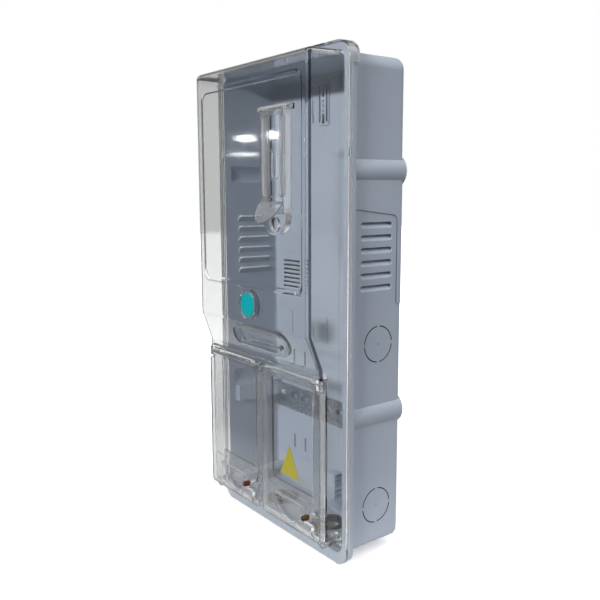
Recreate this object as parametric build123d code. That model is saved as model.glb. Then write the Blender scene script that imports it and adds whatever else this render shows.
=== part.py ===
from build123d import *
from math import atan2, degrees, hypot
import os

# Wall-mounted electricity meter box. A grey moulded tray carries a clear cover that swings up
# from its top edge. The cover has a push button, a small access flap and two clear doors over
# the breaker openings. Millimetres. X runs to the right, the front faces -Y and Z is up. The
# origin is the centre of the back face, which lies on the wall.

# Overall form
BOX_WIDTH = 270.0
BOX_HEIGHT = 600.0
RIM_DEPTH = 91.5            # wall to the front of the cover's rim
METER_RISE = 44.0           # upper face, ahead of the rim
DOOR_RISE = 29.5            # door faces, ahead of the rim
SEAT_GAP = 0.3              # between pieces that close on each other
CUT_LAP = 0.2               # overlap that joins one cut to the next

# Tray, set in from the outline of the cover's rim
TRAY_INSET_X = 7.5
TRAY_INSET_Z = 10.5
TRAY_WALL = 2.8
TRAY_CORNER_R = 15.0
TRAY_REAR_R = 7.0
FLANGE_T = 2.5
LIP_T = 2.5
LIP_DEPTH = 10.0

# Raised bands along the tray's sides
BAND_HEIGHT = 24.0
BAND_RISE = 4.0
UPPER_BAND_DROP = 138.0     # below the box's top
LOWER_BAND_LIFT = 177.0     # above the box's foot

# Louvres in the side walls, and the raised pad around them
LOUVRE_COUNT = 6
LOUVRE_PITCH = 14.45
LOUVRE_DROP = 57.7          # top louvre, below the upper band
LOUVRE_LENGTH = 48.4
LOUVRE_HEIGHT = 7.0
LOUVRE_REACH = 5.2          # how deep a scoop runs at its top edge
LOUVRE_WALL = 1.6           # hood behind a scoop
LOUVRE_SLIT = 2.0           # air slit in the top of a hood
LOUVRE_MID_DEPTH = 42.7     # middle of the louvres, from the wall
PAD_RISE = 1.0
PAD_OVER_FRONT = 15.3       # foot of the pad above the top louvre, at the front
PAD_OVER_REAR = 7.2
PAD_UNDER = 18.0            # end of the pad below the lowest louvre
PAD_STRIP = 11.0            # width of the raised strip beside the rear edge
PAD_CORNER_R = 7.0

# Knock-outs in the side walls
KNOCKOUT_R = 22.0
KNOCKOUT_MID_Z = -38.0
KNOCKOUT_LIFT = 63.0        # lower knock-out, above the box's foot
KNOCKOUT_DEPTH = 38.2       # centre, from the wall
KNOCKOUT_GROOVE = 1.3
KNOCKOUT_CUT = 1.7
KNOCKOUT_BRIDGE = 4.0
KNOCKOUT_DOT_R = 0.9

# Back wall: ledge lines, grille, tie grooves, hanger panel, ejector marks and wall holes
LEDGE_RISE = 1.2
LEDGE_WIDTH = 1.6
LEDGE_FROM_RAIL = (123.6, 84.8, -94.2)
LEDGE_DIVIDER_X = -10.6
LEDGE_DIVIDER_PITCH = 76.6
GRILLE_SLITS = 9
GRILLE_PITCH = 6.1
GRILLE_LIFT = 69.7          # top slit above the upper ledge line
GRILLE_X = -88.0
GRILLE_WIDTH = 38.5
GRILLE_SLIT = 3.0
GRILLE_FALL = 3.4           # how far a slit falls towards the back
TIE_GROOVE_X = 58.0
TIE_GROOVE_PAIR = 25.3
TIE_GROOVE_FROM_RAIL = (56.5, -70.7)
TIE_GROOVE_LENGTH = 20.5
TIE_GROOVE_WIDTH = 2.6
TIE_GROOVE_CUT = 1.8
HANGER_X = -18.0
HANGER_DROP = 38.2          # below the tray's top
HANGER_WIDTH = 22.0
HANGER_HEIGHT = 55.0
HANGER_RISE = 2.0
HANGER_CUT = 3.2            # depth of its slots
HANGER_SLOT_WIDTH = 3.0
HANGER_SLOT_LENGTH = 46.0
HANGER_SLOT_X = 7.2
HANGER_KEY_LENGTH = 16.0    # short slot between the long ones
HANGER_KEY_LIFT = 16.3
HANGER_DOT_R = 1.5
HANGER_DOT_PITCH = 5.9
HANGER_DOT_LIFT = -2.7
HANGER_BAR_WIDTH = 5.0
HANGER_BAR_LENGTH = 12.3
HANGER_BAR_LIFT = -19.0
EJECTOR_MARKS = ((-17.8, 242.7), (6.7, 113.1), (-12.9, 22.2), (-84.9, 82.3))   # X, lift above the upper ledge
EJECTOR_R = 1.8
EJECTOR_RISE = 0.6
WALL_HOLE_INSET_X = 27.5
WALL_HOLE_INSET_Z = 34.5
WALL_HOLE_R = 3.25

# Rail, its bosses and its screws
RAIL_LIFT = 148.2           # middle of the rail, above the box's foot
RAIL_HEIGHT = 35.0
RAIL_CROWN = 25.0           # outside width of the hat
RAIL_DEPTH = 7.5
RAIL_T = 1.0
RAIL_END_GAP = 1.2
RAIL_BOSS_RISE = 7.3
RAIL_BOSS_R = 6.5
RAIL_SLOT_PITCH = 25.0
RAIL_SLOT_LENGTH = 15.0
RAIL_SLOT_WIDTH = 6.2
RAIL_SCREW_R = 2.0
RAIL_SCREW_HEAD_R = 4.0
RAIL_SCREW_HEAD = 2.6
RAIL_SCREW_LENGTH = 8.0
RAIL_SCREW_CROSS = 4.4      # cross recess in the head
RAIL_SCREW_CROSS_WIDTH = 1.1
RAIL_SCREW_CROSS_DEPTH = 1.3
RAIL_BLOCK_T = 10.5
RAIL_BLOCK_HEIGHT = 23.0
RAIL_BLOCK_SETBACK = 14.5   # from the front of the rim

# Cable holes, sleeves and the cable support block
CABLE_X = 50.0
CABLE_DEPTH = 47.0
CABLE_HOLE_R = 18.0
SLEEVE_BORE_R = 14.0
SLEEVE_LIP = 3.0
SLEEVE_LIP_T = 2.0
SLEEVE_GAP = 0.05
SUPPORT_X = 32.0
SUPPORT_WIDTH = 28.0
SUPPORT_DEPTH = 18.0
SUPPORT_HEIGHT = 12.5
COMB_SHIFT = -16.0          # from the middle of the support block
COMB_WIDTH = 16.0
COMB_DEPTH = 14.0
COMB_HEIGHT = 36.0
COMB_TEETH = 5
COMB_TOOTH = 2.2

# Clear cover, its rim and the hood around its top
COVER_WALL = 2.5
COVER_INSET_X = 8.5         # where the body meets the rim
COVER_INSET_TOP = 11.3
COVER_LIFT = 34.0           # foot of the door face, above the box's foot
COVER_FOOT_LIFT = 20.0      # where the bottom wall meets the rim
COVER_SIDE_LEAN = 5.8       # how far a side leans in up to the upper face
COVER_EDGE_R = 8.0
RIM_T = 2.7
RIM_GAP = 0.5               # between the skirt and the tray's flange
RIM_CORNER_R = 19.0
SKIRT_T = 2.5
SKIRT_DEPTH = 5.5
SKIRT_LIFT = 23.0           # end of the skirt above the box's foot
HOOD_DEPTH = 15.0
HOOD_RETURN = 25.5
CATCH_DROP = 120.0          # small window in the skirt, below the box's top
CATCH_HEIGHT = 8.0
CATCH_DEPTH = 2.5

# Step around the meter window
WINDOW_MARGIN_X = 15.7
WINDOW_DROP = 22.7          # below the cover's top
WINDOW_LIFT = 46.0          # above the sloping step
WINDOW_CORNER_R = 11.0
WINDOW_STEP = 1.3
WINDOW_SLOPE_X = 2.0
WINDOW_SLOPE_Z = 5.0

# Sloping step between the two faces, with a grip pocket
STEP_LIFT = 13.0            # above the doors
STEP_HEIGHT = 39.0
POCKET_X = 9.0
POCKET_WIDTH = 112.0
POCKET_HEIGHT = 25.0
POCKET_DEPTH = 6.0
POCKET_SHIFT = -2.0         # down the slope from its middle
POCKET_BAR_R = 1.8
POCKET_BAR_LENGTH = 80.0
POCKET_BAR_SHIFT = -5.0
POCKET_POST_R = 3.0
POCKET_POST_LENGTH = 5.0

# Cover fixing bosses in the lower corners, with posts behind them
CORNER_INSET_X = 11.5
CORNER_DROP = 2.0           # below the foot of the door face
CORNER_BOSS_R = 7.0
CORNER_HOLE_R = 2.3
POST_R = 6.0
POST_HOLE_R = 1.7
POST_HOLE_DEPTH = 16.0

# Top hinge of the cover
COVER_HINGE_X = 70.0
COVER_PIN_R = 2.0
COVER_KNUCKLE_R = 4.8
COVER_KNUCKLE_WIDTH = 20.0
COVER_EAR_T = 5.0
HOOD_CLEARANCE = 0.7        # between the hood and the ears behind it
HINGE_TOP_GAP = 0.5         # knuckles below the box's top
SIDE_PLAY = 0.4
PIN_PLAY = 0.05

# Push button
BUTTON_X = 6.5
BUTTON_LIFT = 24.6          # above the sloping step
BUTTON_R = 14.8
BUTTON_CAP = 2.5
BUTTON_EDGE_R = 0.8
BUTTON_PLAY = 0.5
RING_WALL = 2.9
RING_RISE = 6.0
BUTTON_STEM_R = 4.0
STEM_TAIL = 3.6             # stem behind the cover's inner face
STEM_PLAY = 0.06
CLIP_R = 6.5
CLIP_T = 1.0
CLIP_SLIT = 3.0
SPRING_R = 7.0
SPRING_WIRE_R = 0.45
SPRING_TURNS = 2.0

# Access flap
FLAP_EDGE_X = 16.0          # from the right border of the meter window
FLAP_WIDTH = 46.0
FLAP_DROP = 33.0            # below the top border of the meter window
FLAP_HEIGHT = 119.0
FLAP_RISE = 10.5
FLAP_WALL = 1.8
FLAP_EDGE_R = 1.5
FLAP_PANE_MARGIN = 6.5      # frame around the sunk pane
FLAP_PANE_DROP = 11.0       # below the flap's top
FLAP_PANE_LIFT = 20.0       # above the flap's foot
FLAP_PANE_STEP = 4.4
FLAP_PANE_CORNER_R = 3.5
FLAP_KNUCKLE_R = 3.2
FLAP_PIN_R = 1.25
FLAP_EAR_T = 5.0
FLAP_SLOT_LENGTH = 27.0
FLAP_SLOT_WIDTH = 8.5
FLAP_SLOT_LIFT = 54.0       # above the flap's foot
FLAP_COLLAR = 4.0
FLAP_COLLAR_RISE = 1.5
FLAP_MARGIN = 6.0           # from the flap's edge to the opening behind it
TONGUE_ROOT = 14.0          # above the flap's foot
TONGUE_REACH = 16.0         # ahead of the flap's face
TONGUE_DROP = 24.0
TONGUE_T = 2.0
TONGUE_EDGE_R = 0.9
STAPLE_RISE = 8.5           # half-round boss under the flap
STAPLE_GAP = 0.6
STAPLE_HOLLOW_R = 9.0
STAPLE_FLOOR = 2.0

# Doors
DOOR_HEIGHT = 193.0
DOOR_INSET_X = 4.5          # from the side of the cover
DOOR_MID_GAP = 6.0
DOOR_DEPTH = 8.0
DOOR_WALL = 2.5
DOOR_CORNER_R = 6.0
DOOR_EDGE_R = 1.2
PANE_MARGIN_X = 13.0
PANE_DROP = 17.0
PANE_LIFT = 45.0
PANE_STEP = 0.9
OPENING_MARGIN_MID = 14.5   # breaker opening, from the door's inner edge
OPENING_MARGIN_SIDE = 21.0
OPENING_DROP = 13.0
OPENING_LIFT = 49.0
DOOR_KNUCKLE_R = 3.7
DOOR_PIN_R = 1.5
DOOR_PIN_LENGTH = 13.0
DOOR_NOTCH = 8.5
DOOR_NOTCH_HEIGHT = 13.5
HINGE_LIP_GAP = 1.5         # from the ledge over the doors to their tops
HINGE_BOSS_DROP = 7.0
GRIP_GAP = 18.0             # from the sealing screw to the grip
GRIP_WIDTH = 60.0
GRIP_HEIGHT = 27.0
GRIP_LIFT = 33.0
GRIP_DEPTH = 5.4
GRIP_WALL = 1.5
LUG_WIDTH = 24.0
LUG_HEIGHT = 15.0
LUG_RISE = 5.0
LUG_LIFT = 20.0
LUG_HOLE_R = 1.2
LUG_EDGE = 10.0             # from the door's right edge

# Sealing screws
SCREW_EDGE = 16.0           # from the door's right edge
SCREW_LIFT = 30.5
SCREW_R = 2.0
SCREW_HEAD_R = 3.3
SCREW_HEAD = 8.0
SCREW_HEAD_EDGE_R = 0.5
SCREW_SHOWN = 5.0           # bare shank ahead of the door
SCREW_TAIL = 7.3            # shank behind the door's face
SCREW_BOSS_R = 6.0
SCREW_BOSS = 4.0            # boss length, from the door's face
SCREW_PLAY = 0.06
SCREW_SLOT = 1.0
SCREW_SLOT_DEPTH = 1.4
SEAL_HOLE_R = 0.8
RING_R = 4.0
RING_T = 1.0
THREAD_HOLE_R = 2.06
THREAD_BOSS_R = 5.5
THREAD_BOSS = 9.0

# Blank sticker on the right door
STICKER_WIDTH = 38.0
STICKER_HEIGHT = 39.5
STICKER_T = 0.25
STICKER_SHIFT = 60.0        # its middle, from the door's left edge
STICKER_LIFT = 19.5         # above the pane's foot

# Places that follow from the sizes above
BOX_TOP_Z = BOX_HEIGHT / 2
BOX_FOOT_Z = -BOX_HEIGHT / 2
RIM_FRONT_Y = -RIM_DEPTH
RIM_BACK_Y = RIM_FRONT_Y + RIM_T
FLANGE_FRONT_Y = RIM_BACK_Y + SEAT_GAP
FLANGE_BACK_Y = FLANGE_FRONT_Y + FLANGE_T
LIP_BACK_Y = FLANGE_FRONT_Y + LIP_DEPTH
FLANGE_SIDE_X = BOX_WIDTH / 2 - SKIRT_T - RIM_GAP
FLANGE_TOP_Z = BOX_TOP_Z - SKIRT_T - RIM_GAP
FLANGE_FOOT_Z = BOX_FOOT_Z + RIM_GAP
FLANGE_CORNER_R = RIM_CORNER_R - SKIRT_T - RIM_GAP
TRAY_WIDTH = BOX_WIDTH - 2 * TRAY_INSET_X
TRAY_HEIGHT = BOX_HEIGHT - 2 * TRAY_INSET_Z
TRAY_FLOOR_Y = -TRAY_WALL
TRAY_SIDE_X = TRAY_WIDTH / 2
TRAY_INNER_X = TRAY_SIDE_X - TRAY_WALL
TRAY_TOP_Z = TRAY_HEIGHT / 2
TRAY_FOOT_Z = -TRAY_HEIGHT / 2
BAND_Z = (BOX_TOP_Z - UPPER_BAND_DROP, BOX_FOOT_Z + LOWER_BAND_LIFT)
LOUVRE_TOP_Z = BAND_Z[0] - LOUVRE_DROP
KNOCKOUT_Z = (KNOCKOUT_MID_Z, BOX_FOOT_Z + KNOCKOUT_LIFT)
RAIL_Z = BOX_FOOT_Z + RAIL_LIFT
RAIL_BACK_Y = TRAY_FLOOR_Y - RAIL_BOSS_RISE
RAIL_FRONT_Y = RAIL_BACK_Y - RAIL_DEPTH
RAIL_HALF = TRAY_INNER_X - RAIL_BLOCK_T - RAIL_END_GAP
RAIL_SLOTS = int((RAIL_HALF - RAIL_SLOT_LENGTH / 2) // RAIL_SLOT_PITCH)
RAIL_SCREW_X = [slot * RAIL_SLOT_PITCH for slot in (-RAIL_SLOTS, -1, RAIL_SLOTS)]
LEDGE_Z = [RAIL_Z + lift for lift in LEDGE_FROM_RAIL]
GRILLE_TOP_Z = LEDGE_Z[0] + GRILLE_LIFT
HANGER_Z = TRAY_TOP_Z - HANGER_DROP
COVER_SIDE = BOX_WIDTH / 2 - COVER_INSET_X
COVER_TOP_Z = BOX_TOP_Z - COVER_INSET_TOP
COVER_BOTTOM_Z = BOX_FOOT_Z + COVER_LIFT
COVER_FOOT_Z = BOX_FOOT_Z + COVER_FOOT_LIFT
COVER_AXIS_Y = RIM_FRONT_Y + HOOD_DEPTH + HOOD_CLEARANCE + COVER_KNUCKLE_R
COVER_AXIS_Z = BOX_TOP_Z - HINGE_TOP_GAP - COVER_KNUCKLE_R
METER_FACE_Y = RIM_FRONT_Y - METER_RISE
METER_BACK_Y = METER_FACE_Y + COVER_WALL
DOOR_FACE_Y = RIM_FRONT_Y - DOOR_RISE
LEDGE_FACE_Y = DOOR_FACE_Y + DOOR_DEPTH
LEDGE_BACK_Y = LEDGE_FACE_Y + COVER_WALL
DOOR_REAR_Y = LEDGE_FACE_Y - SEAT_GAP
DOOR_TOP_Z = COVER_BOTTOM_Z + DOOR_HEIGHT
DOOR_EDGE = COVER_SIDE - DOOR_INSET_X
DOOR_WIDTH = DOOR_EDGE - DOOR_MID_GAP / 2
DOOR_LEFT_X = {"left": -DOOR_EDGE, "right": DOOR_MID_GAP / 2}
DOOR_AXIS_Y = DOOR_REAR_Y - DOOR_KNUCKLE_R
DOOR_AXIS_Z = DOOR_TOP_Z - DOOR_KNUCKLE_R
LIP_FOOT_Z = DOOR_TOP_Z + HINGE_LIP_GAP
PANE_FOOT_Z = COVER_BOTTOM_Z + PANE_LIFT
SCREW_Z = COVER_BOTTOM_Z + SCREW_LIFT
STEP_FOOT_Z = DOOR_TOP_Z + STEP_LIFT
STEP_TOP_Z = STEP_FOOT_Z + STEP_HEIGHT
BUTTON_Z = STEP_TOP_Z + BUTTON_LIFT
CORNER_X = COVER_SIDE - CORNER_INSET_X
CORNER_Z = COVER_BOTTOM_Z - CORNER_DROP
WINDOW_SIDE = COVER_SIDE - COVER_SIDE_LEAN - WINDOW_MARGIN_X
WINDOW_TOP_Z = COVER_TOP_Z - WINDOW_DROP
WINDOW_FOOT_Z = STEP_TOP_Z + WINDOW_LIFT
WINDOW_FACE_Y = METER_FACE_Y + WINDOW_STEP
FLAP_X = WINDOW_SIDE - FLAP_EDGE_X - FLAP_WIDTH / 2
FLAP_TOP_Z = WINDOW_TOP_Z - FLAP_DROP
FLAP_FOOT_Z = FLAP_TOP_Z - FLAP_HEIGHT
FLAP_FACE_Y = METER_FACE_Y - FLAP_RISE
FLAP_AXIS_Y = METER_FACE_Y - FLAP_RISE / 2
FLAP_AXIS_Z = FLAP_TOP_Z - FLAP_KNUCKLE_R
TONGUE_Z = FLAP_FOOT_Z + TONGUE_ROOT
BEYOND = 30.0               # reach of a cutter past what it cuts


def block(x0, x1, y0, y1, z0, z1):
    """A box between two corners."""
    return Pos((x0 + x1) / 2, (y0 + y1) / 2, (z0 + z1) / 2) * Box(x1 - x0, y1 - y0, z1 - z0)


def plate(outline, y_back, y_front):
    """An outline drawn as seen from the front, given its thickness along Y."""
    plane = Plane(origin=(0, y_back, 0), x_dir=(1, 0, 0), z_dir=(0, -1, 0))
    return extrude(plane * outline, amount=y_back - y_front)


def side_plate(outline, x0, x1):
    """An outline drawn in Y and Z, given its thickness along X."""
    return extrude(Plane.YZ.offset(x0) * outline, amount=x1 - x0)


def rod_y(radius, x, z, y_back, y_front):
    return plate(Pos(x, z) * Circle(radius), y_back, y_front)


def rod_x(radius, y, z, x0, x1):
    return side_plate(Pos(y, z) * Circle(radius), x0, x1)


def rounded_outline(x0, x1, z0, z1, radius):
    return Pos((x0 + x1) / 2, (z0 + z1) / 2) * RectangleRounded(x1 - x0, z1 - z0, radius)


def both_sides(shape):
    return shape + mirror(shape, about=Plane.YZ)


def tray_block(grow, y_front):
    """The tray's rounded block, grown sideways by a small step."""
    outline = RectangleRounded(TRAY_WIDTH + 2 * grow, TRAY_HEIGHT, TRAY_CORNER_R)
    solid = plate(outline, 0, y_front)
    rear = solid.faces().sort_by(Axis.Y)[-1]
    return fillet(rear.edges(), TRAY_REAR_R)


def tray_hollow():
    wall = 2 * TRAY_WALL
    outline = RectangleRounded(TRAY_WIDTH - wall, TRAY_HEIGHT - wall, TRAY_CORNER_R - TRAY_WALL)
    solid = plate(outline, TRAY_FLOOR_Y, FLANGE_FRONT_Y - BEYOND)
    floor = solid.faces().sort_by(Axis.Y)[-1]
    return fillet(floor.edges(), TRAY_REAR_R - TRAY_WALL)


def flange_outline(inset):
    return rounded_outline(-FLANGE_SIDE_X + inset, FLANGE_SIDE_X - inset, FLANGE_FOOT_Z + inset,
                           FLANGE_TOP_Z - inset, FLANGE_CORNER_R - inset)


def side_bands():
    """Half-round bands on the right wall, as a solid and as the hollow behind it."""
    radius = ((BAND_HEIGHT / 2) ** 2 + BAND_RISE ** 2) / (2 * BAND_RISE)
    centre_x = TRAY_SIDE_X + BAND_RISE - radius
    end_y = TRAY_FLOOR_Y - TRAY_REAR_R
    far_x = TRAY_SIDE_X + BEYOND
    solid = Part()
    hollow = Part()
    for z in BAND_Z:
        low_z, high_z = z - BEYOND, z + BEYOND
        outside = block(TRAY_INNER_X, far_x, LIP_BACK_Y, 0, low_z, high_z)
        solid += rod_y(radius, centre_x, z, 0, LIP_BACK_Y) & outside
        inside = block(TRAY_INNER_X - TRAY_WALL, far_x, LIP_BACK_Y, end_y, low_z, high_z)
        hollow += rod_y(radius - TRAY_WALL, centre_x, z, 0, LIP_BACK_Y) & inside
    return solid, hollow


def louvre_pad():
    """The low raised area above and behind the louvres, on the right wall."""
    rear_y = -PAD_STRIP
    front_z = LOUVRE_TOP_Z + PAD_OVER_FRONT
    corner_z = LOUVRE_TOP_Z + PAD_OVER_REAR
    end_z = LOUVRE_TOP_Z - (LOUVRE_COUNT - 1) * LOUVRE_PITCH - LOUVRE_HEIGHT - PAD_UNDER
    outline = make_face(Polyline(
        (LIP_BACK_Y, BAND_Z[0]), (LIP_BACK_Y, front_z), (rear_y, corner_z), (rear_y, end_z + PAD_RISE),
        (0, end_z), (0, BAND_Z[0]), close=True))
    corner = outline.vertices().sort_by_distance((rear_y, corner_z, 0))[0]
    area = side_plate(fillet(corner, PAD_CORNER_R), TRAY_INNER_X, TRAY_SIDE_X + BEYOND)
    return tray_block(PAD_RISE, LIP_BACK_Y) & area


def louvres():
    """Hooded louvres in the right wall: the hoods inside, and the scoops and air slits to cut.

    A scoop deepens up to its top edge. Its hood stands into the box by the same slope, and the
    slit in the hood's top lets air past but keeps rain and fingers out.
    """
    hoods = Part()
    cuts = Part()
    deep_x = TRAY_SIDE_X - LOUVRE_REACH
    hood_x = deep_x - LOUVRE_WALL
    proud_x = TRAY_SIDE_X + PAD_RISE
    wall_x = (TRAY_SIDE_X + TRAY_INNER_X) / 2
    rear_y = -LOUVRE_MID_DEPTH + LOUVRE_LENGTH / 2
    front_y = -LOUVRE_MID_DEPTH - LOUVRE_LENGTH / 2
    for index in range(LOUVRE_COUNT):
        top_z = LOUVRE_TOP_Z - index * LOUVRE_PITCH
        low_z = top_z - LOUVRE_HEIGHT
        cap_z = top_z + LOUVRE_WALL
        middle = Pos(-LOUVRE_MID_DEPTH, (top_z + low_z) / 2)
        ends = middle * SlotOverall(LOUVRE_LENGTH, LOUVRE_HEIGHT)
        wedge = make_face(Polyline((TRAY_SIDE_X, low_z), (deep_x, top_z), (proud_x, top_z),
                                   (proud_x, low_z), close=True))
        cuts += plate(wedge, rear_y, front_y) & side_plate(ends, hood_x, proud_x)
        cuts += block(deep_x, deep_x + LOUVRE_SLIT, front_y + LOUVRE_HEIGHT, rear_y - LOUVRE_HEIGHT,
                      top_z - CUT_LAP, cap_z + CUT_LAP)
        wide = 2 * LOUVRE_WALL
        shell_ends = middle * SlotOverall(LOUVRE_LENGTH + wide, LOUVRE_HEIGHT + wide)
        shell = make_face(Polyline((wall_x, low_z), (TRAY_INNER_X, low_z), (hood_x, top_z),
                                   (hood_x, cap_z), (wall_x, cap_z), close=True))
        hood = plate(shell, rear_y + LOUVRE_WALL, front_y - LOUVRE_WALL)
        hoods += hood & side_plate(shell_ends, hood_x, wall_x)
    return hoods, cuts


def knockouts():
    """Broken ring grooves around a centre mark, in the right wall."""
    cuts = Part()
    across = Rectangle(4 * KNOCKOUT_R, KNOCKOUT_BRIDGE)
    floor_x = TRAY_SIDE_X - KNOCKOUT_CUT
    for z in KNOCKOUT_Z:
        centre = Pos(-KNOCKOUT_DEPTH, z)
        ring = centre * (Circle(KNOCKOUT_R) - Circle(KNOCKOUT_R - KNOCKOUT_GROOVE))
        cross = centre * (across + Rot(0, 0, 90) * across)
        cuts += side_plate(ring - cross, floor_x, TRAY_SIDE_X + BEYOND)
        cuts += side_plate(centre * Circle(KNOCKOUT_DOT_R), floor_x, TRAY_SIDE_X + BEYOND)
    return cuts


def grille():
    """Vent slits through the back wall, which fall towards the back so that rain stays out."""
    slits = Part()
    half = GRILLE_SLIT / 2
    ahead_y = TRAY_FLOOR_Y - TRAY_WALL
    behind_y = TRAY_FLOOR_Y + 2 * TRAY_WALL
    for index in range(GRILLE_SLITS):
        z = GRILLE_TOP_Z - index * GRILLE_PITCH
        high_z = z + GRILLE_FALL
        low_z = z - 2 * GRILLE_FALL
        outline = make_face(Polyline((ahead_y, high_z + half), (behind_y, low_z + half),
                                     (behind_y, low_z - half), (ahead_y, high_z - half), close=True))
        slits += side_plate(outline, GRILLE_X - GRILLE_WIDTH / 2, GRILLE_X + GRILLE_WIDTH / 2)
    return slits


def hanger_slots():
    """Cuts in the hanger panel: two long slots, and between them a short slot, three dots and a bar."""
    outline = Pos(0, HANGER_KEY_LIFT) * Rectangle(HANGER_SLOT_WIDTH, HANGER_KEY_LENGTH)
    outline += Pos(0, HANGER_BAR_LIFT) * Rectangle(HANGER_BAR_WIDTH, HANGER_BAR_LENGTH)
    for side in (-1, 1):
        outline += Pos(side * HANGER_SLOT_X, 0) * Rectangle(HANGER_SLOT_WIDTH, HANGER_SLOT_LENGTH)
    for step in (-1, 0, 1):
        outline += Pos(0, HANGER_DOT_LIFT + step * HANGER_DOT_PITCH) * Circle(HANGER_DOT_R)
    face_y = TRAY_FLOOR_Y - HANGER_RISE
    return plate(Pos(HANGER_X, HANGER_Z) * outline, face_y + HANGER_CUT, face_y - BEYOND)


def back_wall_cuts():
    """Grille, hanger slots, tie grooves and wall holes."""
    cuts = grille() + hanger_slots()
    for side in (-1, 1):
        for x in (TIE_GROOVE_X, TIE_GROOVE_X + TIE_GROOVE_PAIR):
            for lift in TIE_GROOVE_FROM_RAIL:
                groove = Pos(side * x, RAIL_Z + lift) * Rectangle(TIE_GROOVE_WIDTH, TIE_GROOVE_LENGTH)
                cuts += plate(groove, TRAY_FLOOR_Y + TIE_GROOVE_CUT, TRAY_FLOOR_Y - LEDGE_RISE)
        for end in (-1, 1):
            hole_x = side * (TRAY_SIDE_X - WALL_HOLE_INSET_X)
            hole_z = end * (TRAY_TOP_Z - WALL_HOLE_INSET_Z)
            cuts += rod_y(WALL_HOLE_R, hole_x, hole_z, TRAY_WALL, TRAY_FLOOR_Y - TRAY_WALL)
    return cuts


def back_wall_relief():
    """Ledge lines, the hanger panel and the ejector marks on the inside of the back wall."""
    outline = Sketch()
    for z in LEDGE_Z:
        outline += Pos(0, z) * Rectangle(2 * TRAY_INNER_X, LEDGE_WIDTH)
    high, low = LEDGE_Z[0], LEDGE_Z[1]
    for step in (-1, 0, 1):
        divider_x = LEDGE_DIVIDER_X + step * LEDGE_DIVIDER_PITCH
        outline += Pos(divider_x, (high + low) / 2) * Rectangle(LEDGE_WIDTH, high - low)
    relief = plate(outline, TRAY_FLOOR_Y, TRAY_FLOOR_Y - LEDGE_RISE)
    panel = Pos(HANGER_X, HANGER_Z) * RectangleRounded(HANGER_WIDTH, HANGER_HEIGHT, HANGER_SLOT_WIDTH)
    relief += plate(panel, TRAY_FLOOR_Y, TRAY_FLOOR_Y - HANGER_RISE)
    for x, lift in EJECTOR_MARKS:
        relief += rod_y(EJECTOR_R, x, high + lift, TRAY_FLOOR_Y, TRAY_FLOOR_Y - EJECTOR_RISE)
    return relief


def rail_seats():
    """Bosses behind the rail and the blocks at its ends."""
    seats = Part()
    for x in RAIL_SCREW_X:
        seats += rod_y(RAIL_BOSS_R, x, RAIL_Z, TRAY_FLOOR_Y, RAIL_BACK_Y)
    top_z = RAIL_Z + RAIL_HEIGHT / 2
    seats += both_sides(block(TRAY_INNER_X - RAIL_BLOCK_T, TRAY_INNER_X, RIM_FRONT_Y + RAIL_BLOCK_SETBACK,
                              TRAY_FLOOR_Y, top_z - RAIL_BLOCK_HEIGHT, top_z))
    return seats


def cable_support():
    """The low block on the bottom wall, with a toothed post above it."""
    floor_z = TRAY_FOOT_Z + TRAY_WALL
    low = block(SUPPORT_X - SUPPORT_WIDTH / 2, SUPPORT_X + SUPPORT_WIDTH / 2, TRAY_FLOOR_Y - SUPPORT_DEPTH,
                TRAY_FLOOR_Y, floor_z, floor_z + SUPPORT_HEIGHT)
    base_z = floor_z + SUPPORT_HEIGHT
    comb_x = SUPPORT_X + COMB_SHIFT
    right_x = comb_x + COMB_WIDTH / 2
    post = block(comb_x - COMB_WIDTH / 2, right_x, TRAY_FLOOR_Y - COMB_DEPTH, TRAY_FLOOR_Y, floor_z,
                 base_z + COMB_HEIGHT)
    pitch = COMB_HEIGHT / COMB_TEETH
    for index in range(COMB_TEETH):
        middle_z = base_z + (index + 0.5) * pitch
        notch = make_face(Polyline((right_x, middle_z - pitch / 2), (right_x - COMB_TOOTH, middle_z),
                                   (right_x, middle_z + pitch / 2), close=True))
        post -= plate(notch, TRAY_FLOOR_Y, TRAY_FLOOR_Y - COMB_DEPTH)
    return low + post


def cover_ears():
    """Pairs of ears on the tray's top wall that hold the cover's pins."""
    ears = Part()
    reach = COVER_KNUCKLE_WIDTH / 2 + SIDE_PLAY
    back_y = COVER_AXIS_Y + COVER_KNUCKLE_R
    front_y = COVER_AXIS_Y - COVER_KNUCKLE_R
    for x0 in (COVER_HINGE_X + reach, COVER_HINGE_X - reach - COVER_EAR_T):
        x1 = x0 + COVER_EAR_T
        ear = rod_x(COVER_KNUCKLE_R, COVER_AXIS_Y, COVER_AXIS_Z, x0, x1)
        ear += block(x0, x1, front_y, back_y, TRAY_TOP_Z - TRAY_WALL, COVER_AXIS_Z)
        ears += ear - rod_x(COVER_PIN_R + PIN_PLAY / 2, COVER_AXIS_Y, COVER_AXIS_Z, x0, x1)
    return both_sides(ears)


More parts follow.
